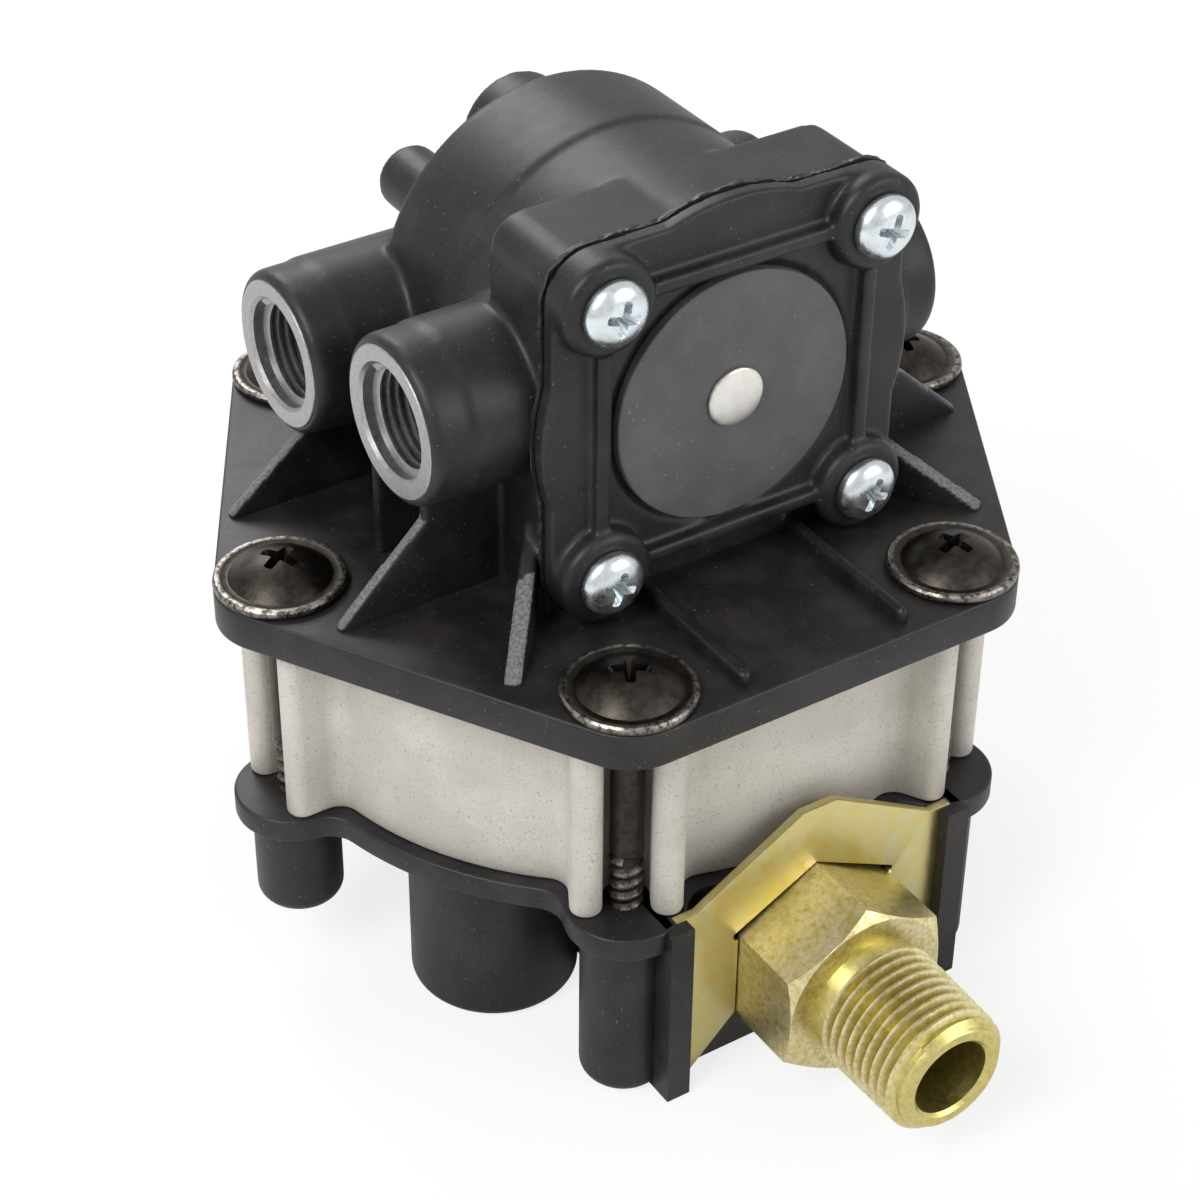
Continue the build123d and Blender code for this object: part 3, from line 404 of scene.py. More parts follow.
def cut(bm, cutter):
    # Takes the cutter's solids away from the mesh
    made = []
    for part, label in ((bm, "stock"), (cutter, "cutter")):
        mesh = bpy.data.meshes.new(label)
        part.to_mesh(mesh)
        part.free()
        made.append(bpy.data.objects.new(label, mesh))
        bpy.context.scene.collection.objects.link(made[-1])
    tool = made[0].modifiers.new("cut", "BOOLEAN")
    tool.operation, tool.object, tool.solver = "DIFFERENCE", made[1], "EXACT"
    mesh = bpy.data.meshes.new_from_object(made[0].evaluated_get(bpy.context.evaluated_depsgraph_get()))
    out = bmesh.new()
    out.from_mesh(mesh)
    for item in made:
        bpy.data.objects.remove(item)
    return out


def piece(name, bm, look, body="valve_body", replaces=(), smooth=38, wearAndGlint=None):
    # Finished piece: metres, material, smooth shading, and its place on a body
    mesh = bpy.data.meshes.new(name)
    if wearAndGlint:
        layer = bm.verts.layers.float.new("wearAndGlint")
        for vert in bm.verts:
            vert[layer] = wearAndGlint(vert)
    bmesh.ops.transform(bm, matrix=toMetres, verts=bm.verts)
    bm.to_mesh(mesh)
    bm.free()
    mesh.polygons.foreach_set("use_smooth", [True] * len(mesh.polygons))
    mesh.set_sharp_from_angle(angle=math.radians(smooth))
    made = bpy.data.objects.new(name, mesh)
    bpy.context.scene.collection.objects.link(made)
    mesh.materials.append(looks[look])
    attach(made, body)
    if replaces:
        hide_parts(*replaces)
    return made


# ---- upper cover ----
tower = {
    "voxel": 0.5, "rounds": 3,
    "drumR": 28.5, "drumStep": 0.4, "stepY": -0.5, "drumBack": 17.8, "legW": 44.0,
    "padHalfW": 28.5, "padTop": 129.0, "padBack": -13.0, "padCorner": 5.0,
    "bossR": 12.8, "lipStep": 0.3, "lipL": 6.5, "insertR": 11.25, "insertL": 14.0, "passageR": 6.0,
    "rearBoss": [(0, 16.3, 9.0), (-18.3, 13.2, 5.0), (18.3, 13.2, 5.0)], "rearBossY": 27.5,
    "webT": 1.8, "thickT": 2.6, "footX": 55.4,
}


def portBoss(bm, side, face, root, y, z):
    # Open tube for a side port, its rim rounded, a fuller length behind the parting ring
    r, hole = tower["bossR"], tower["insertR"]
    lip = r - tower["lipStep"]
    depth = min(tower["insertL"], face - root - 3)
    rim = [(lip - 1.7 + 1.7 * math.sin(a), 1.7 - 1.7 * math.cos(a)) for a in (math.pi / 2 * n / 6 for n in range(7))]
    profile = [(hole, 0)] + rim + [(lip, tower["lipL"]), (r, tower["lipL"] + 0.15), (r, face - root)]
    profile += [(0, face - root), (0, depth + 4), (tower["passageR"], depth + 4), (tower["passageR"], depth), (hole, depth)]
    lathe(bm, (side * face, y, z), (-side, 0, 0), profile, 144, ring=True)


def buildTower():
    bm = bmesh.new()
    z, top = stack["drumZ"], stack["flangeTop"]
    r, back = tower["drumR"], tower["drumBack"]
    full = r + tower["drumStep"]
    lathe(bm, (0, -26, z), (0, 1, 0),
          [(0, 0), (r, 0), (r, tower["stepY"] + 26), (full, tower["stepY"] + 26.2)]
          + [(a, b + 26) for a, b in softEdge(full, back, 1.0)] + [(0, back + 26)], 240)
    box(bm, (-22, -26, top - 1), (22, back, z), 0.0)
    half, high, corner = tower["padHalfW"], tower["padTop"], tower["padCorner"]
    pad = Outline(0, top - 1).line(half, top - 1).line(half, high - corner).arc(half - corner, high - corner, 90, 10)
    pad.line(0, high).mirrored().rise(
        bm, axes((0, stack["padFace"], 0), (0, 1, 0), (-1, 0, 0)), tower["padBack"] - stack["padFace"], 0.3, 2)
    for side in (-1, 1):
        box(bm, (side * 14 - 12, 6.1, top - 1), (side * 14 + 12, 31.1, 96.7), 0.4)
    for name, side, face, y, rise in ports:
        portBoss(bm, side, face, 0 if y > 0 else 22, y, rise)
    for x, rise, radius in tower["rearBoss"]:
        lathe(bm, (x, back - 1, z + rise), (0, 1, 0), [(0, 0), (radius, 0)]
              + [(a, b + 1 - back) for a, b in softEdge(radius, tower["rearBossY"], 0.8)]
              + [(0, tower["rearBossY"] + 1 - back)], 72)
    for side, face in ((-1, 45.7), (1, 40.0)):
        for y, rise in ((-14.9, 31.6), (18.6, 25.2)):
            under = rise - tower["bossR"] + 1
            rootX = face - 4.5
            slopedWeb(bm, (side * rootX, y), (side * tower["footX"], y), rootX - 21,
                      min(under - 1, tower["footX"] - rootX), under, tower["webT"])
        slopedWeb(bm, (side * half, 27.7 * -1 + 3.9), (side * 41.3, -39.3), 2.6, 12.0, 13.0, tower["thickT"])
        reach = face - 4.5
        box(bm, (min(side * 20, side * reach), -1.9, top - 1), (max(side * 20, side * reach), -0.1, top + 19), 0.12)
        rib = Outline(side * 13.7 - 1, -26).line(side * 13.7 + 1, -26).line(side * 13.7 + 1, -56.0)
        rib.line(side * 13.7 + 0.4, -56.6).line(side * 13.7 - 0.4, -56.6).line(side * 13.7 - 1, -56.0)
        rib.line(side * 13.7 - 1, -26).rise(bm, Matrix.Translation((0, 0, top - 1)), 3.4, 0.35, 2, foot=False)
    bm = fused(bm, tower["voxel"], tower["rounds"])
    pale = bm.verts.layers.float.new("pale")
    bm.normal_update()
    for vert in bm.verts:  # the webs' sloping tops
        x, y, up = abs(vert.co.x), vert.co.y, vert.normal.z
        inFront = 28.8 < x < 43 and -41 < y < -28.2
        under = x > 35 and min(abs(y + 14.9), abs(y - 18.6)) < 1.3
        vert[pale] = 1.0 if (inFront or under) and 0.3 < up < 0.96 and vert.co.z < 90 else 0.0
    return bm


cover = piece("upperCoverTower", buildTower(), "nylon", replaces=["upper_cover"], smooth=50)
print("tower", len(cover.data.polygons))

flange = {"cornerR": 9.8, "holeR": 2.6, "rim": 0.45}


def buildFlange():
    bm = bmesh.new()
    c, r = stack["screwCircle"], flange["cornerR"]
    start = Vector((c + r * math.cos(math.radians(30)), -r / 2))
    onward = start.copy()
    onward.rotate(Matrix.Rotation(math.radians(60), 2))
    outline = Outline(*start).arc(c, 0, 60, 14).line(*onward).around(6)
    low = stack["bodyTop"]
    outline.rise(bm, Matrix.Translation((0, 0, low)), stack["flangeTop"] - low, flange["rim"], 3)
    return bm


piece("upperCoverFlange", buildFlange(), "nylon", smooth=35)

# ---- aluminium body ----
body = {
    "wallR": 53.0, "boreR": 46.0, "chamberR": 42.8, "stemR": 8.3, "rootR": 3.2,
    "ribW": 4.8, "ribGap": 7.0, "tip": 60.6, "rim": 0.5, "floor": (36.5, 39.5),
}


def buildBody():
    bm = bmesh.new()
    wall, root, half = body["wallR"], body["rootR"], body["ribW"] / 2
    inner, outer = body["ribGap"] / 2, body["ribGap"] / 2 + body["ribW"]
    tip, far = body["tip"] - half, wall + root
    rootX = math.sqrt(far ** 2 - (outer + root) ** 2)
    lean = math.degrees(math.atan2(outer + root, rootX))
    start = (wall * math.cos(math.radians(lean)), -wall * math.sin(math.radians(lean)))
    slotX = math.sqrt(far ** 2 - (inner - root) ** 2)
    outline = Outline(*start).arc(rootX, -outer - root, lean - 90, 7).line(tip, -outer)
    outline.arc(tip, -inner - half, 180, 12).line(slotX, -inner).arc(slotX, -inner + root, -90, 7)
    outline.arc(slotX, inner - root, -90, 7).line(tip, inner).arc(tip, inner + half, 180, 12)
    outline.line(rootX, outer).arc(rootX, outer + root, lean - 90, 7).arc(0, 0, 60 - 2 * lean, 16).around(6)
    low, high = stack["plateTop"], stack["bodyTop"]
    outline.rise(bm, Matrix.Translation((0, 0, low)), high - low, body["rim"], 3)
    tool = bmesh.new()
    floorLow, floorTop = body["floor"]
    lathe(tool, (0, 0, 0), (0, 0, 1), [(0, floorTop), (body["boreR"], floorTop), (body["boreR"], high + 1), (0, high + 1)], 180)
    lathe(tool, (0, 0, 0), (0, 0, 1), [(0, low - 1), (body["chamberR"], low - 1), (body["chamberR"], floorLow), (0, floorLow)], 180)
    lathe(tool, (0, 0, 0), (0, 0, 1), [(0, floorLow - 0.5), (body["stemR"], floorLow - 0.5), (body["stemR"], floorTop + 0.5), (0, floorTop + 0.5)], 48)
    return cut(bm, tool)


piece("castBody", buildBody(), "cast", replaces=["main_body"], smooth=32)
print("body")

# ---- lower cover ----
lower = {
    "discR": 55.3, "lobeR": 9.2, "webR": 5.0, "rim": 0.5,
    "bossR": 6.7, "bossRim": 2.4, "shortFoot": 12.5, "long": (240, 300),
    "hub": (14.0, 18.5), "delivery": 37.9, "deliveryR": 13.1, "deliveryRim": 1.8, "insertR": 10.85, "insertL": 14.0,
    "blockHalf": 22.0, "blockLow": 1.8, "blockBack": -16.0,
    "post": {"inner": 23.15, "slot": 25.15, "outer": 27.15, "back": -48.9, "slotFront": -57.45, "front": -59.45},
}


def buildLower():
    bm = bmesh.new()
    at, low, high = stack["screwCircle"], stack["plateBottom"], stack["plateTop"]
    a, c = lower["discR"] + lower["webR"], lower["lobeR"] + lower["webR"]
    lean = math.acos((a * a + at * at - c * c) / (2 * a * at))
    open_ = math.acos((at * at + c * c - a * a) / (2 * at * c))
    webX, webY = a * math.cos(lean), a * math.sin(lean)
    bend = math.degrees(math.pi - lean - open_)
    outline = Outline(lower["discR"] * math.cos(lean), -lower["discR"] * math.sin(lean))
    outline.arc(webX, -webY, -bend, 8).arc(at, 0, 2 * math.degrees(math.pi - open_), 24).arc(webX, webY, -bend, 8)
    outline.arc(0, 0, 60 - 2 * math.degrees(lean), 14).around(6)
    outline.rise(bm, Matrix.Translation((0, 0, low)), high - low, lower["rim"], 3)
    for turn in range(0, 360, 60):
        foot = 0 if turn in lower["long"] else lower["shortFoot"]
        spot = Vector((at, 0, 0))
        spot.rotate(Matrix.Rotation(math.radians(turn), 3, "Z"))
        depth = low + 1 - foot
        lathe(bm, (spot.x, spot.y, low + 1), (0, 0, -1),
              [(0, 0), (lower["bossR"], 0)] + softEdge(lower["bossR"], depth, lower["bossRim"], 8) + [(0, depth)], 64)
    for turn in (210, 330):
        spot = Vector((lower["delivery"], 0, 0))
        spot.rotate(Matrix.Rotation(math.radians(turn), 3, "Z"))
        r, hole, deep = lower["deliveryR"], lower["insertR"], lower["insertL"]
        depth = low + 1
        lathe(bm, (spot.x, spot.y, depth), (0, 0, -1),
              [(0, 0), (r, 0)] + softEdge(r, depth, lower["deliveryRim"], 8)
              + [(hole, depth), (hole, depth - deep), (6, depth - deep), (6, depth - deep - 8), (0, depth - deep - 8)], 96)
    bore, rim = lower["hub"]
    lathe(bm, (0, 0, low + 1), (0, 0, -1),
          [(bore, 5.9), (bore, 0), (rim, 0)] + softEdge(rim, low + 1, 0.6, 4) + [(bore, low + 1), (bore, low - 4.2),
           (bore + 1.2, low - 4.2), (bore + 1.2, low - 5.4), (bore, low - 5.4)], 96, ring=True)
    half, front = lower["blockHalf"], stack["blockFront"]
    box(bm, (-half, front, lower["blockLow"]), (half, lower["blockBack"], low + 1), 0.5)
    for side in (-1, 1):
        box(bm, (min(side * 15, side * half), lower["blockBack"] - 1, lower["blockLow"]),
            (max(side * 15, side * half), 0, low + 1), 0.3)
    return bm


piece("lowerCoverShell", buildLower(), "nylon", replaces=["lower_cover"], smooth=35)


def buildPosts():
    bm = bmesh.new()
    post, front = lower["post"], stack["blockFront"]
    for side in (-1, 1):
        outline = Outline(side * 21.8, post["back"]).line(side * post["outer"], post["back"])
        outline.line(side * post["outer"], post["front"]).line(side * post["inner"], post["front"])
        outline.line(side * post["inner"], post["slotFront"]).line(side * post["slot"], post["slotFront"])
        outline.line(side * post["slot"], front).line(side * 21.8, front).line(side * 21.8, post["back"])
        outline.rise(bm, Matrix.Identity(4), stack["plateTop"], 0.3, 2)
    return bm


piece("lockPlatePosts", buildPosts(), "nylon", smooth=30)
print("lower cover")

# ---- lock plate and nipple ----
lock = {"apex": (3.0, 26.5), "shoulder": (21.4, 15.88), "half": 25.0, "drop": 15.2, "fork": 13.75, "flare": 7.4, "t": 1.5, "rim": 0.18}


def buildLock():
    bm = bmesh.new()
    (ax, az), (sx, sz), half, fork = lock["apex"], lock["shoulder"], lock["half"], lock["fork"]
    rise = fork * math.tan(math.radians(30))
    outline = Outline(0, az).line(ax, az).line(sx, sz).line(half, sz).line(half, -lock["drop"])
    outline.line(fork + lock["drop"] - lock["flare"], -lock["drop"]).line(fork, -lock["flare"]).line(fork, rise - 0.9)
    outline.arc(fork, rise, 120, 6).line(0, 2 * rise).mirrored()
    place = axes((0, stack["blockFront"] - 0.1, stack["nippleZ"]), (0, -1, 0), (1, 0, 0))
    outline.rise(bm, place, lock["t"], lock["rim"], 2)
    for vert in bm.verts:  # the upper corners would be bent back a little, but the factor 0.0 leaves them flat
        if abs(vert.co.x) > sx and vert.co.z > stack["nippleZ"] + sz - 6:
            vert.co.y += 0.5 * (abs(vert.co.x) - sx) / (half - sx) * 0.0
    return bm


piece("lockPlateFork", buildLock(), "gold", replaces=["lock_plate"], smooth=30,
      wearAndGlint=lambda v: 0.5 if len(v.link_faces) > 2 and v.calc_shell_factor() > 1.2 else 0.0)

nipple = {
    "af": 27.2, "hexL": 15.0, "neckR": 9.55, "neckL": 1.4, "threadR": 10.67, "pitch": 1.814, "depth": 1.25,
    "threadL": 19.4, "boreR": 6.35, "inner": 14.0, "taper": 0.45,
}


def buildNipple():
    z, back = stack["nippleZ"], stack["blockFront"]
    hexagon, tool = bmesh.new(), bmesh.new()
    corner = nipple["af"] / math.sqrt(3)
    start = Vector((0, corner))
    following = start.copy()
    following.rotate(Matrix.Rotation(math.radians(60), 2))
    outline = Outline(*start).line(*following).around(6)
    place = axes((0, back, z), (0, -1, 0), (1, 0, 0))
    outline.rise(hexagon, place, nipple["hexL"], 0.12, 2)
    face = nipple["af"] / 2 - 0.1
    for origin, axis in (((0, back - nipple["hexL"] - 0.01, z), (0, 1, 0)), ((0, back + 0.01, z), (0, -1, 0))):
        lathe(tool, origin, axis, [(face, -1), (face + 4, -1), (face + 4, 4 * math.tan(math.radians(30))), (face, 0)], 120, ring=True)
    bore = nipple["boreR"]
    lathe(tool, (0, back + 2, z), (0, -1, 0), [(0, 0), (bore, 0), (bore, 19), (0, 19)], 72)
    bm = cut(hexagon, tool)
    front = nipple["hexL"]
    r, core, neck = nipple["threadR"], nipple["threadR"] - nipple["depth"], nipple["neckR"]
    end = front + nipple["neckL"] + nipple["threadL"]
    taper = nipple["taper"]
    lathe(bm, (0, back, z), (0, -1, 0), [
        (bore, -nipple["inner"]), (r, -nipple["inner"]), (r, 1), (bore + 0.3, 1), (bore + 0.3, front - 1), (neck, front - 1),
        (neck, front + nipple["neckL"]), (core, front + nipple["neckL"] + 0.3), (core - taper, end - 0.9), (core - taper - 0.5, end - 0.1),
        (core - taper - 0.65, end), (bore + 0.55, end), (bore, end - 0.55)], 144, ring=True)
    ridge = bmesh.new()
    thread(ridge, (0, back - front - nipple["neckL"], z), (0, -1, 0), core, nipple["pitch"], nipple["threadL"] - 0.1,
           nipple["depth"], taper=taper / nipple["threadL"] , steps=72, crest=0.1)
    for vert in ridge.verts:  # the end chamfer cuts into the last turns
        left = end + back * -1 + vert.co.y
        out = Vector((vert.co.x, vert.co.z - z))
        limit = core - taper - 0.45 + max(left, 0) * 0.9
        if out.length > limit:
            out = out.normalized() * limit
            vert.co.x, vert.co.z = out.x, out.y + z
    mesh = bpy.data.meshes.new("ridge")
    ridge.to_mesh(mesh)
    ridge.free()
    bm.from_mesh(mesh)
    bpy.data.meshes.remove(mesh)
    return bm


def nippleWear(vert):
    out = math.hypot(vert.co.x, vert.co.z - stack["nippleZ"])
    along = -vert.co.y
    if along > 73:
        return min(1.0, max(0.0, (out - 9.75) / 0.6)) * 0.8
    return 0.7 if out > 14.6 or (out > 13.4 and along > 70.2) else 0.0


piece("supplyNipple", buildNipple(), "brassy", replaces=["pipe_nipple"], smooth=28, wearAndGlint=nippleWear)
print("nipple")

# ---- screws ----
longScrew = {
    "rimR": 9.85, "domeR": 7.6, "rimH": 1.45, "domeH": 3.4, "shankR": 2.5, "length": 54.5, "threadFrom": 28.0, "pitch": 2.2,
    "reach": 3.0, "armW": 1.5, "deep": 3.0, "turns": (12, 47, 8, 63, 30, 75),
}
smallScrew = {"headR": 4.9, "headH": 3.0, "shankR": 2.1, "length": 16.0, "reach": 2.7, "armW": 1.25, "deep": 2.2, "turns": (17, 22, 14, 19)}


def crossTool(place, reach, width, deep, spin):
    # Cross-shaped punch whose arms narrow towards the tip
    bm = bmesh.new()
    arm = width / 2
    outline = Outline(arm, arm).line(arm, reach - 0.3).line(arm - 0.3, reach).line(-arm + 0.3, reach).line(-arm, reach - 0.3)
    outline.line(-arm, arm).around(4)
    outline.rise(bm, Matrix.Translation((0, 0, -0.2)), deep + 0.2)
    for vert in bm.verts:
        share = max(vert.co.z, 0) / deep
        vert.co.x *= 1.12 - 0.72 * share
        vert.co.y *= 1.12 - 0.72 * share
    bmesh.ops.transform(bm, matrix=place @ Matrix.Rotation(math.radians(spin), 4, "Z"), verts=bm.verts)
    bmesh.ops.recalc_face_normals(bm, faces=bm.faces)
    return bm


def longHead(spot, spin):
    size = longScrew
    bm = bmesh.new()
    rim, dome, rise = size["rimR"], size["domeR"], size["domeH"]
    sphere = (dome ** 2 + rise ** 2) / (2 * rise)
    reach = math.asin(dome / sphere)
    base = size["rimH"] - 0.25
    profile = [(size["shankR"], -2), (size["shankR"], 0), (rim - 0.5, 0), (rim - 0.12, 0.2), (rim, 0.6), (rim - 0.1, 1.1), (rim - 0.4, 1.4),
               (rim - 0.8, size["rimH"]), (rim - 1.3, 1.38), (dome + 0.25, base - 0.05), (dome, base)]
    profile += [(sphere * math.sin(reach * (1 - n / 12)), base + rise - sphere + sphere * math.cos(reach * (1 - n / 12))) for n in range(1, 13)]
    lathe(bm, spot, (0, 0, 1), [(0, -2)] + profile, 96)
    top = base + rise
    tool = crossTool(axes((spot.x, spot.y, spot.z + top - 0.1), (0, 0, -1), (1, 0, 0)), size["reach"], size["armW"], size["deep"], spin)
    return cut(bm, tool)


def buildLongScrews():
    bm = bmesh.new()
    size = longScrew
    for number in range(6):
        spot = Vector((stack["screwCircle"], 0, 0))
        spot.rotate(Matrix.Rotation(math.radians(60 * number), 3, "Z"))
        spot.z = stack["flangeTop"]
        head = longHead(spot, size["turns"][number])
        place_(bm, head, Matrix.Identity(4))
        r = size["shankR"]
        lathe(bm, spot, (0, 0, -1), [(0, 1), (r, 1), (r, size["threadFrom"]), (r - 0.42, size["threadFrom"] + 0.6),
              (r - 0.42, size["length"] - 1.5), (r - 1.3, size["length"]), (0, size["length"])], 32)
        thread(bm, (spot.x, spot.y, spot.z - size["threadFrom"] - 0.3), (0, 0, -1), r - 0.42, size["pitch"],
               size["length"] - size["threadFrom"] - 2.2, 0.5, steps=28, crest=0.08)
    return bm


# Real wear on the head rims, plus painted highlight lines along the thread crests
def longWearAndCrestGlint(vert):
    nearest = min(math.hypot(vert.co.x - stack["screwCircle"] * math.cos(a), vert.co.y - stack["screwCircle"] * math.sin(a))
                  for a in (math.radians(60 * n) for n in range(6)))
    high = vert.co.z - stack["flangeTop"]
    if high < 0:
        # thread crests: partly real wear, partly a painted highlight
        return 0.5 if nearest > 2.4 and high < -28 else 0.0
    return 0.75 if 9.0 < nearest < 9.8 and high > 1.0 else (0.35 if nearest > 9.8 else 0.0)


piece("housingScrews", buildLongScrews(), "oxide", replaces=["housing_screws"], smooth=30, wearAndGlint=longWearAndCrestGlint)


def buildSmallScrews():
    bm = bmesh.new()
    size = smallScrew
    corners = [(x, z) for z in (-21.8, 21.8) for x in (-22.2, 22.2)]
    for (x, z), spin in zip(corners, size["turns"]):
        spot = (x, stack["coverBack"] - 6.0, stack["drumZ"] + z)
        one = bmesh.new()
        r, h = size["headR"], size["headH"]
        crown = [(0, -size["length"]), (size["shankR"], -size["length"]), (size["shankR"], 0), (r - 0.25, 0), (r, 0.3), (r, 0.75)]
        crown += [(r * math.cos(a) ** 0.75, 0.75 + (h - 0.75) * math.sin(a)) for a in (math.pi / 2 * n / 12 for n in range(1, 12))]
        lathe(one, spot, (0, -1, 0), crown + [(0, h)], 80)
        tool = crossTool(axes((x, spot[1] - h + 0.05, spot[2]), (0, 1, 0), (1, 0, 0)), size["reach"], size["armW"], size["deep"], spin)
        place_(bm, cut(one, tool), Matrix.Identity(4))
    return bm


piece("coverScrews", buildSmallScrews(), "bright", replaces=["cover_screws"], smooth=30)
print("screws")

# ---- port inserts ----
insert = {"outerR": 11.2, "boreR": 8.3, "length": 14.0, "chamfer": 0.5, "pitch": 1.411, "ridge": 1.0}


def buildInsert(origin, axis, outer):
    bm = bmesh.new()
    bore, length, chamfer = insert["boreR"], insert["length"], insert["chamfer"]
    lathe(bm, origin, axis, [(outer, length), (outer, 0.15), (outer - 0.15, 0), (bore + chamfer, 0), (bore, chamfer), (bore, length)], 120, ring=True)
    thread(bm, Vector(origin) + Vector(axis) * 0.9, axis, bore, insert["pitch"], length - 1.0, insert["ridge"], True, steps=64, crest=0.09)
    return bm


def insertWear(vert):
    return 0.0


for name, side, face, y, z in ports:
    piece(name + "PortRing", buildInsert((side * face, y, z), (-side, 0, 0), insert["outerR"]), "turned",
          replaces=[name + "_port_insert"], smooth=30)
for name, turn in (("left", 210), ("right", 330)):
    x, y = 37.9 * math.cos(math.radians(turn)), 37.9 * math.sin(math.radians(turn))
    piece(name + "DeliveryRing", buildInsert((x, y, 0), (0, 0, 1), 10.8), "turned",
          replaces=[name + "_delivery_insert"], smooth=30)
print("port rings")

# ---- front cover, gasket, disc and pin ----
front = {
    "bulge": 31.0, "screwX": 22.2, "screwZ": 21.8, "bossR": 7.3, "bossL": 6.0, "plateT": 2.6, "ribW": 2.2, "ribL": 4.6,
    "recessR": 20.4, "recess": 0.6, "voxel": 0.4, "rounds": 2, "gasketT": 0.8,
}


def coverOutline(grow=0.0):
    x, z, r, bulge = front["screwX"], front["screwZ"], front["bossR"] + grow, front["bulge"] + grow
    sideZ = math.sqrt(bulge ** 2 - (x + r) ** 2)
    topX = math.sqrt(bulge ** 2 - (z + r) ** 2)
    outline = Outline(0, -z).line(x - r, -z).arc(x, -z, 180, 16).line(x + r, -sideZ)
    outline.arc(0, 0, 2 * math.degrees(math.atan2(sideZ, x + r)), 12).line(x + r, z).arc(x, z, 90, 12)
    outline.line(topX, z + r).arc(0, 0, math.degrees(math.atan2(topX, z + r)), 12)
    return outline.mirrored()


def frontPlane(y):
    return axes((0, y, stack["drumZ"]), (0, -1, 0), (1, 0, 0))


def buildFront():
    bm, tool = bmesh.new(), bmesh.new()
    coverOutline().rise(bm, frontPlane(stack["coverBack"]), front["plateT"])
    lathe(tool, (0, stack["coverFace"] + front["recess"], stack["drumZ"]), (0, -1, 0),
          [(0, 0), (front["recessR"], 0), (front["recessR"], 3), (0, 3)], 120)
    bm = cut(bm, tool)
    x, z, rise = front["screwX"], front["screwZ"], front["bossL"]
    for a in (-x, x):
        for b in (-z, z):
            lathe(bm, (a, stack["coverBack"] - 0.3, stack["drumZ"] + b), (0, -1, 0),
                  [(0, 0), (front["bossR"], 0)] + softEdge(front["bossR"], rise - 0.3, 1.3, 5) + [(0, rise - 0.3)], 72)
    half, reach, y = front["ribW"] / 2, front["ribL"], stack["coverBack"]
    middle = stack["drumZ"]
    for side in (-1, 1):
        box(bm, (side * x - half, y - reach, middle - z), (side * x + half, y - 0.4, middle + z))
        box(bm, (-x, y - reach, middle + side * z - half), (x, y - 0.4, middle + side * z + half))
    return fused(bm, front["voxel"], front["rounds"])


piece("frontCoverPlate", buildFront(), "nylon", replaces=["front_cover"], smooth=50)


def buildGasket():
    bm, outline = bmesh.new(), coverOutline(0.05)
    bmesh.ops.subdivide_edges(outline.bm, edges=[e for e in outline.bm.edges if e.calc_length() > 2], cuts=24)
    outline.rise(bm, frontPlane(stack["padFace"] + 0.02), front["gasketT"] - 0.04)
    bmesh.ops.subdivide_edges(bm, edges=[e for e in bm.edges if abs(e.verts[0].co.y - e.verts[1].co.y) > 0.5], cuts=2)
    for vert in bm.verts:
        out = Vector((vert.co.x, 0, vert.co.z - stack["drumZ"])).normalized()
        push = noise.noise(vert.co * 0.55) * 0.5 + noise.noise(vert.co * 1.9) * 0.35
        vert.co += out * (0.12 + push * 0.8)
    return bm


piece("coverGasketEdge", buildGasket(), "flakes", replaces=["cover_gasket"], smooth=20)


def buildDisc():
    bm = bmesh.new()
    r, t = 19.5, 1.6
    edge = [(r - 0.3 + 0.3 * math.cos(a), t - 0.3 + 0.3 * math.sin(a)) for a in (math.pi / 2 * n / 4 for n in range(5))]
    lathe(bm, (0, -30.5, stack["drumZ"]), (0, -1, 0), [(0, 0), (r - 0.2, 0), (r, 0.2)] + edge + [(12, t - 0.05), (5.2, t - 0.12), (0, t - 0.12)], 180)
    return bm


piece("exhaustDiscRubber", buildDisc(), "disc", replaces=["exhaust_disc"], smooth=40)


def buildPin():
    bm = bmesh.new()
    r, rise = 4.6, 0.9
    head = [(r - 0.25, 0), (r, 0.12), (r - 0.05, 0.3)] + [(r * math.cos(a), 0.3 + (rise - 0.3) * math.sin(a)) for a in (math.pi / 2 * n / 10 for n in range(1, 10))]
    lathe(bm, (0, -32.05, stack["drumZ"]), (0, -1, 0), [(0, -5), (2.5, -5), (2.5, 0)] + head + [(0, rise - 0.03)], 72)
    return bm


piece("discPinHead", buildPin(), "nickel", replaces=["disc_pin"], smooth=40,
      wearAndGlint=lambda v: 0.6 if math.hypot(v.co.x, v.co.z - stack["drumZ"]) > 4.3 else 0.0)
print("front cover")

# ---- stage ----
floorMesh = bmesh.new()
bmesh.ops.create_grid(floorMesh, x_segments=1, y_segments=1, size=4.0)
floorData = bpy.data.meshes.new("floor")
floorMesh.to_mesh(floorData)
floor = bpy.data.objects.new("floor", floorData)
bpy.context.scene.collection.objects.link(floor)
paper = Finish("paper", Roughness=0.9, Base_Color=(0.86, 0.86, 0.86, 1))
seen = paper.node("ShaderNodeLightPath", output=0)
glow = paper.node("ShaderNodeEmission", {}, {"Color": (1, 1, 1, 1), "Strength": 1.0})
blend = paper.node("ShaderNodeMixShader", {}, {0: seen * 0.8, 1: Value(paper, paper.shader.outputs[0]), 2: glow})
paper.tree.links.new(blend.socket, paper.tree.nodes["Material Output"].inputs[0])
floorData.materials.append(paper.material)

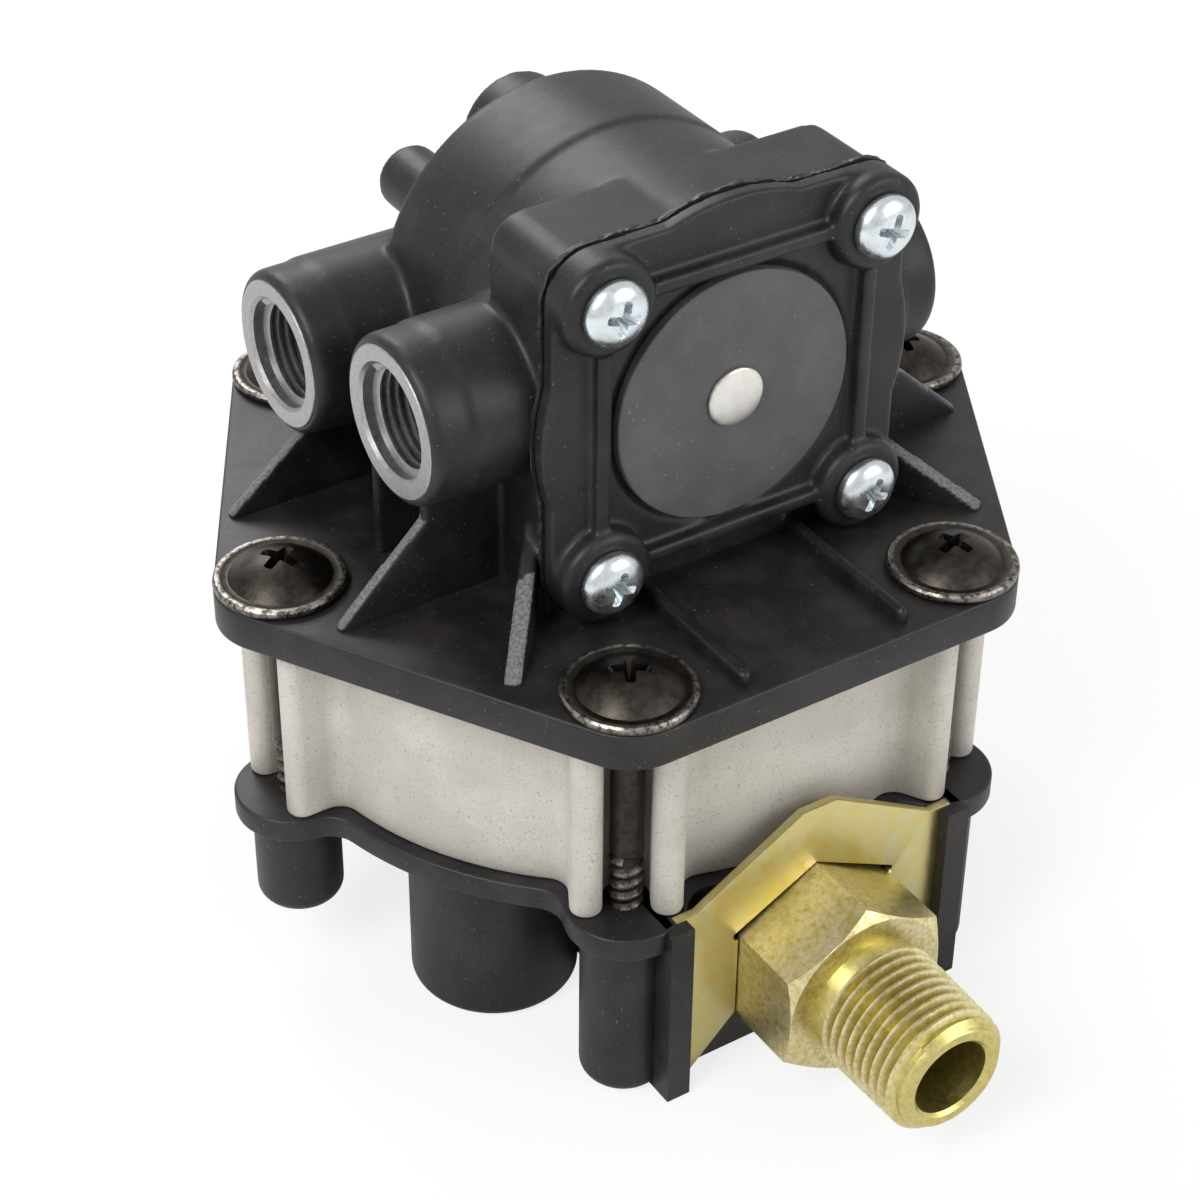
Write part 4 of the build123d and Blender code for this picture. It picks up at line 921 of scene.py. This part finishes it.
world = bpy.data.worlds.new("studio")
bpy.context.scene.world = world
world.use_nodes = True
sky = world.node_tree
path = sky.nodes.new("ShaderNodeLightPath")
back = sky.nodes["Background"]
pale = sky.nodes.new("ShaderNodeBackground")
pale.inputs["Strength"].default_value = 1.0
back.inputs["Color"].default_value = (1, 1, 1, 1)
back.inputs["Strength"].default_value = 0.45
most = sky.nodes.new("ShaderNodeMath")
most.operation = "MAXIMUM"
sky.links.new(path.outputs["Is Camera Ray"], most.inputs[0])
sky.links.new(path.outputs["Is Glossy Ray"], most.inputs[1])
most2 = sky.nodes.new("ShaderNodeMath")
most2.operation = "MAXIMUM"
sky.links.new(most.outputs[0], most2.inputs[0])
sky.links.new(path.outputs["Is Transmission Ray"], most2.inputs[1])
choice = sky.nodes.new("ShaderNodeMixShader")
sky.links.new(most2.outputs[0], choice.inputs[0])
sky.links.new(back.outputs[0], choice.inputs[1])
sky.links.new(pale.outputs[0], choice.inputs[2])
sky.links.new(choice.outputs[0], sky.nodes["World Output"].inputs["Surface"])

lamps = {  # place, size, watts
    "key": ((-0.75, -0.25, 0.85), 0.45, 9.0),
    "fill": ((0.55, -0.85, 0.55), 0.6, 5.0),
    "rim": ((0.1, 0.8, 0.75), 0.5, 6.0),
}
for name, (place, size, watts) in lamps.items():
    light = bpy.data.lights.new(name, "AREA")
    light.size, light.energy = size, watts
    lamp = bpy.data.objects.new(name, light)
    bpy.context.scene.collection.objects.link(lamp)
    lamp.location = place
    lamp.rotation_euler = (Vector((0, -0.02, 0.07)) - Vector(place)).to_track_quat("-Z", "Y").to_euler()

view = {"place": (-0.2056, -0.3120, 0.3192), "forward": (0.44244, 0.67532, -0.59008), "up": (0.31457, 0.49931, 0.80730)}
cameraData = bpy.data.cameras.new("camera")
cameraData.lens, cameraData.sensor_width = 87.615, 36
camera = bpy.data.objects.new("camera", cameraData)
bpy.context.scene.collection.objects.link(camera)
backward, up = -Vector(view["forward"]), Vector(view["up"])
camera.matrix_world = Matrix.Translation(view["place"]) @ Matrix(
    (up.cross(backward), up, backward)).transposed().to_4x4()
bpy.context.scene.camera = camera
bpy.context.scene.view_settings.view_transform = "Standard"
print("stage")

nodeLooks = {
    "poppet_guide": "nylon", "upper_gasket": "seal", "lower_gasket": "seal", "nipple_insert": "turned",
    "relay_piston": "alloy", "piston_seal": "seal", "relay_poppet": "alloy", "poppet_washer": "seal",
    "guide_seal": "seal", "snap_ring": "wire", "control_piston": "alloy", "control_seal": "seal",
    "check_poppet": "seal", "check_plate": "alloy", "relay_spring": "wire", "poppet_spring": "wire",
    "control_spring": "wire", "check_spring": "wire",
}
for name, look in nodeLooks.items():
    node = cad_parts[name]
    node.data.materials.clear()
    node.data.materials.append(looks[look])
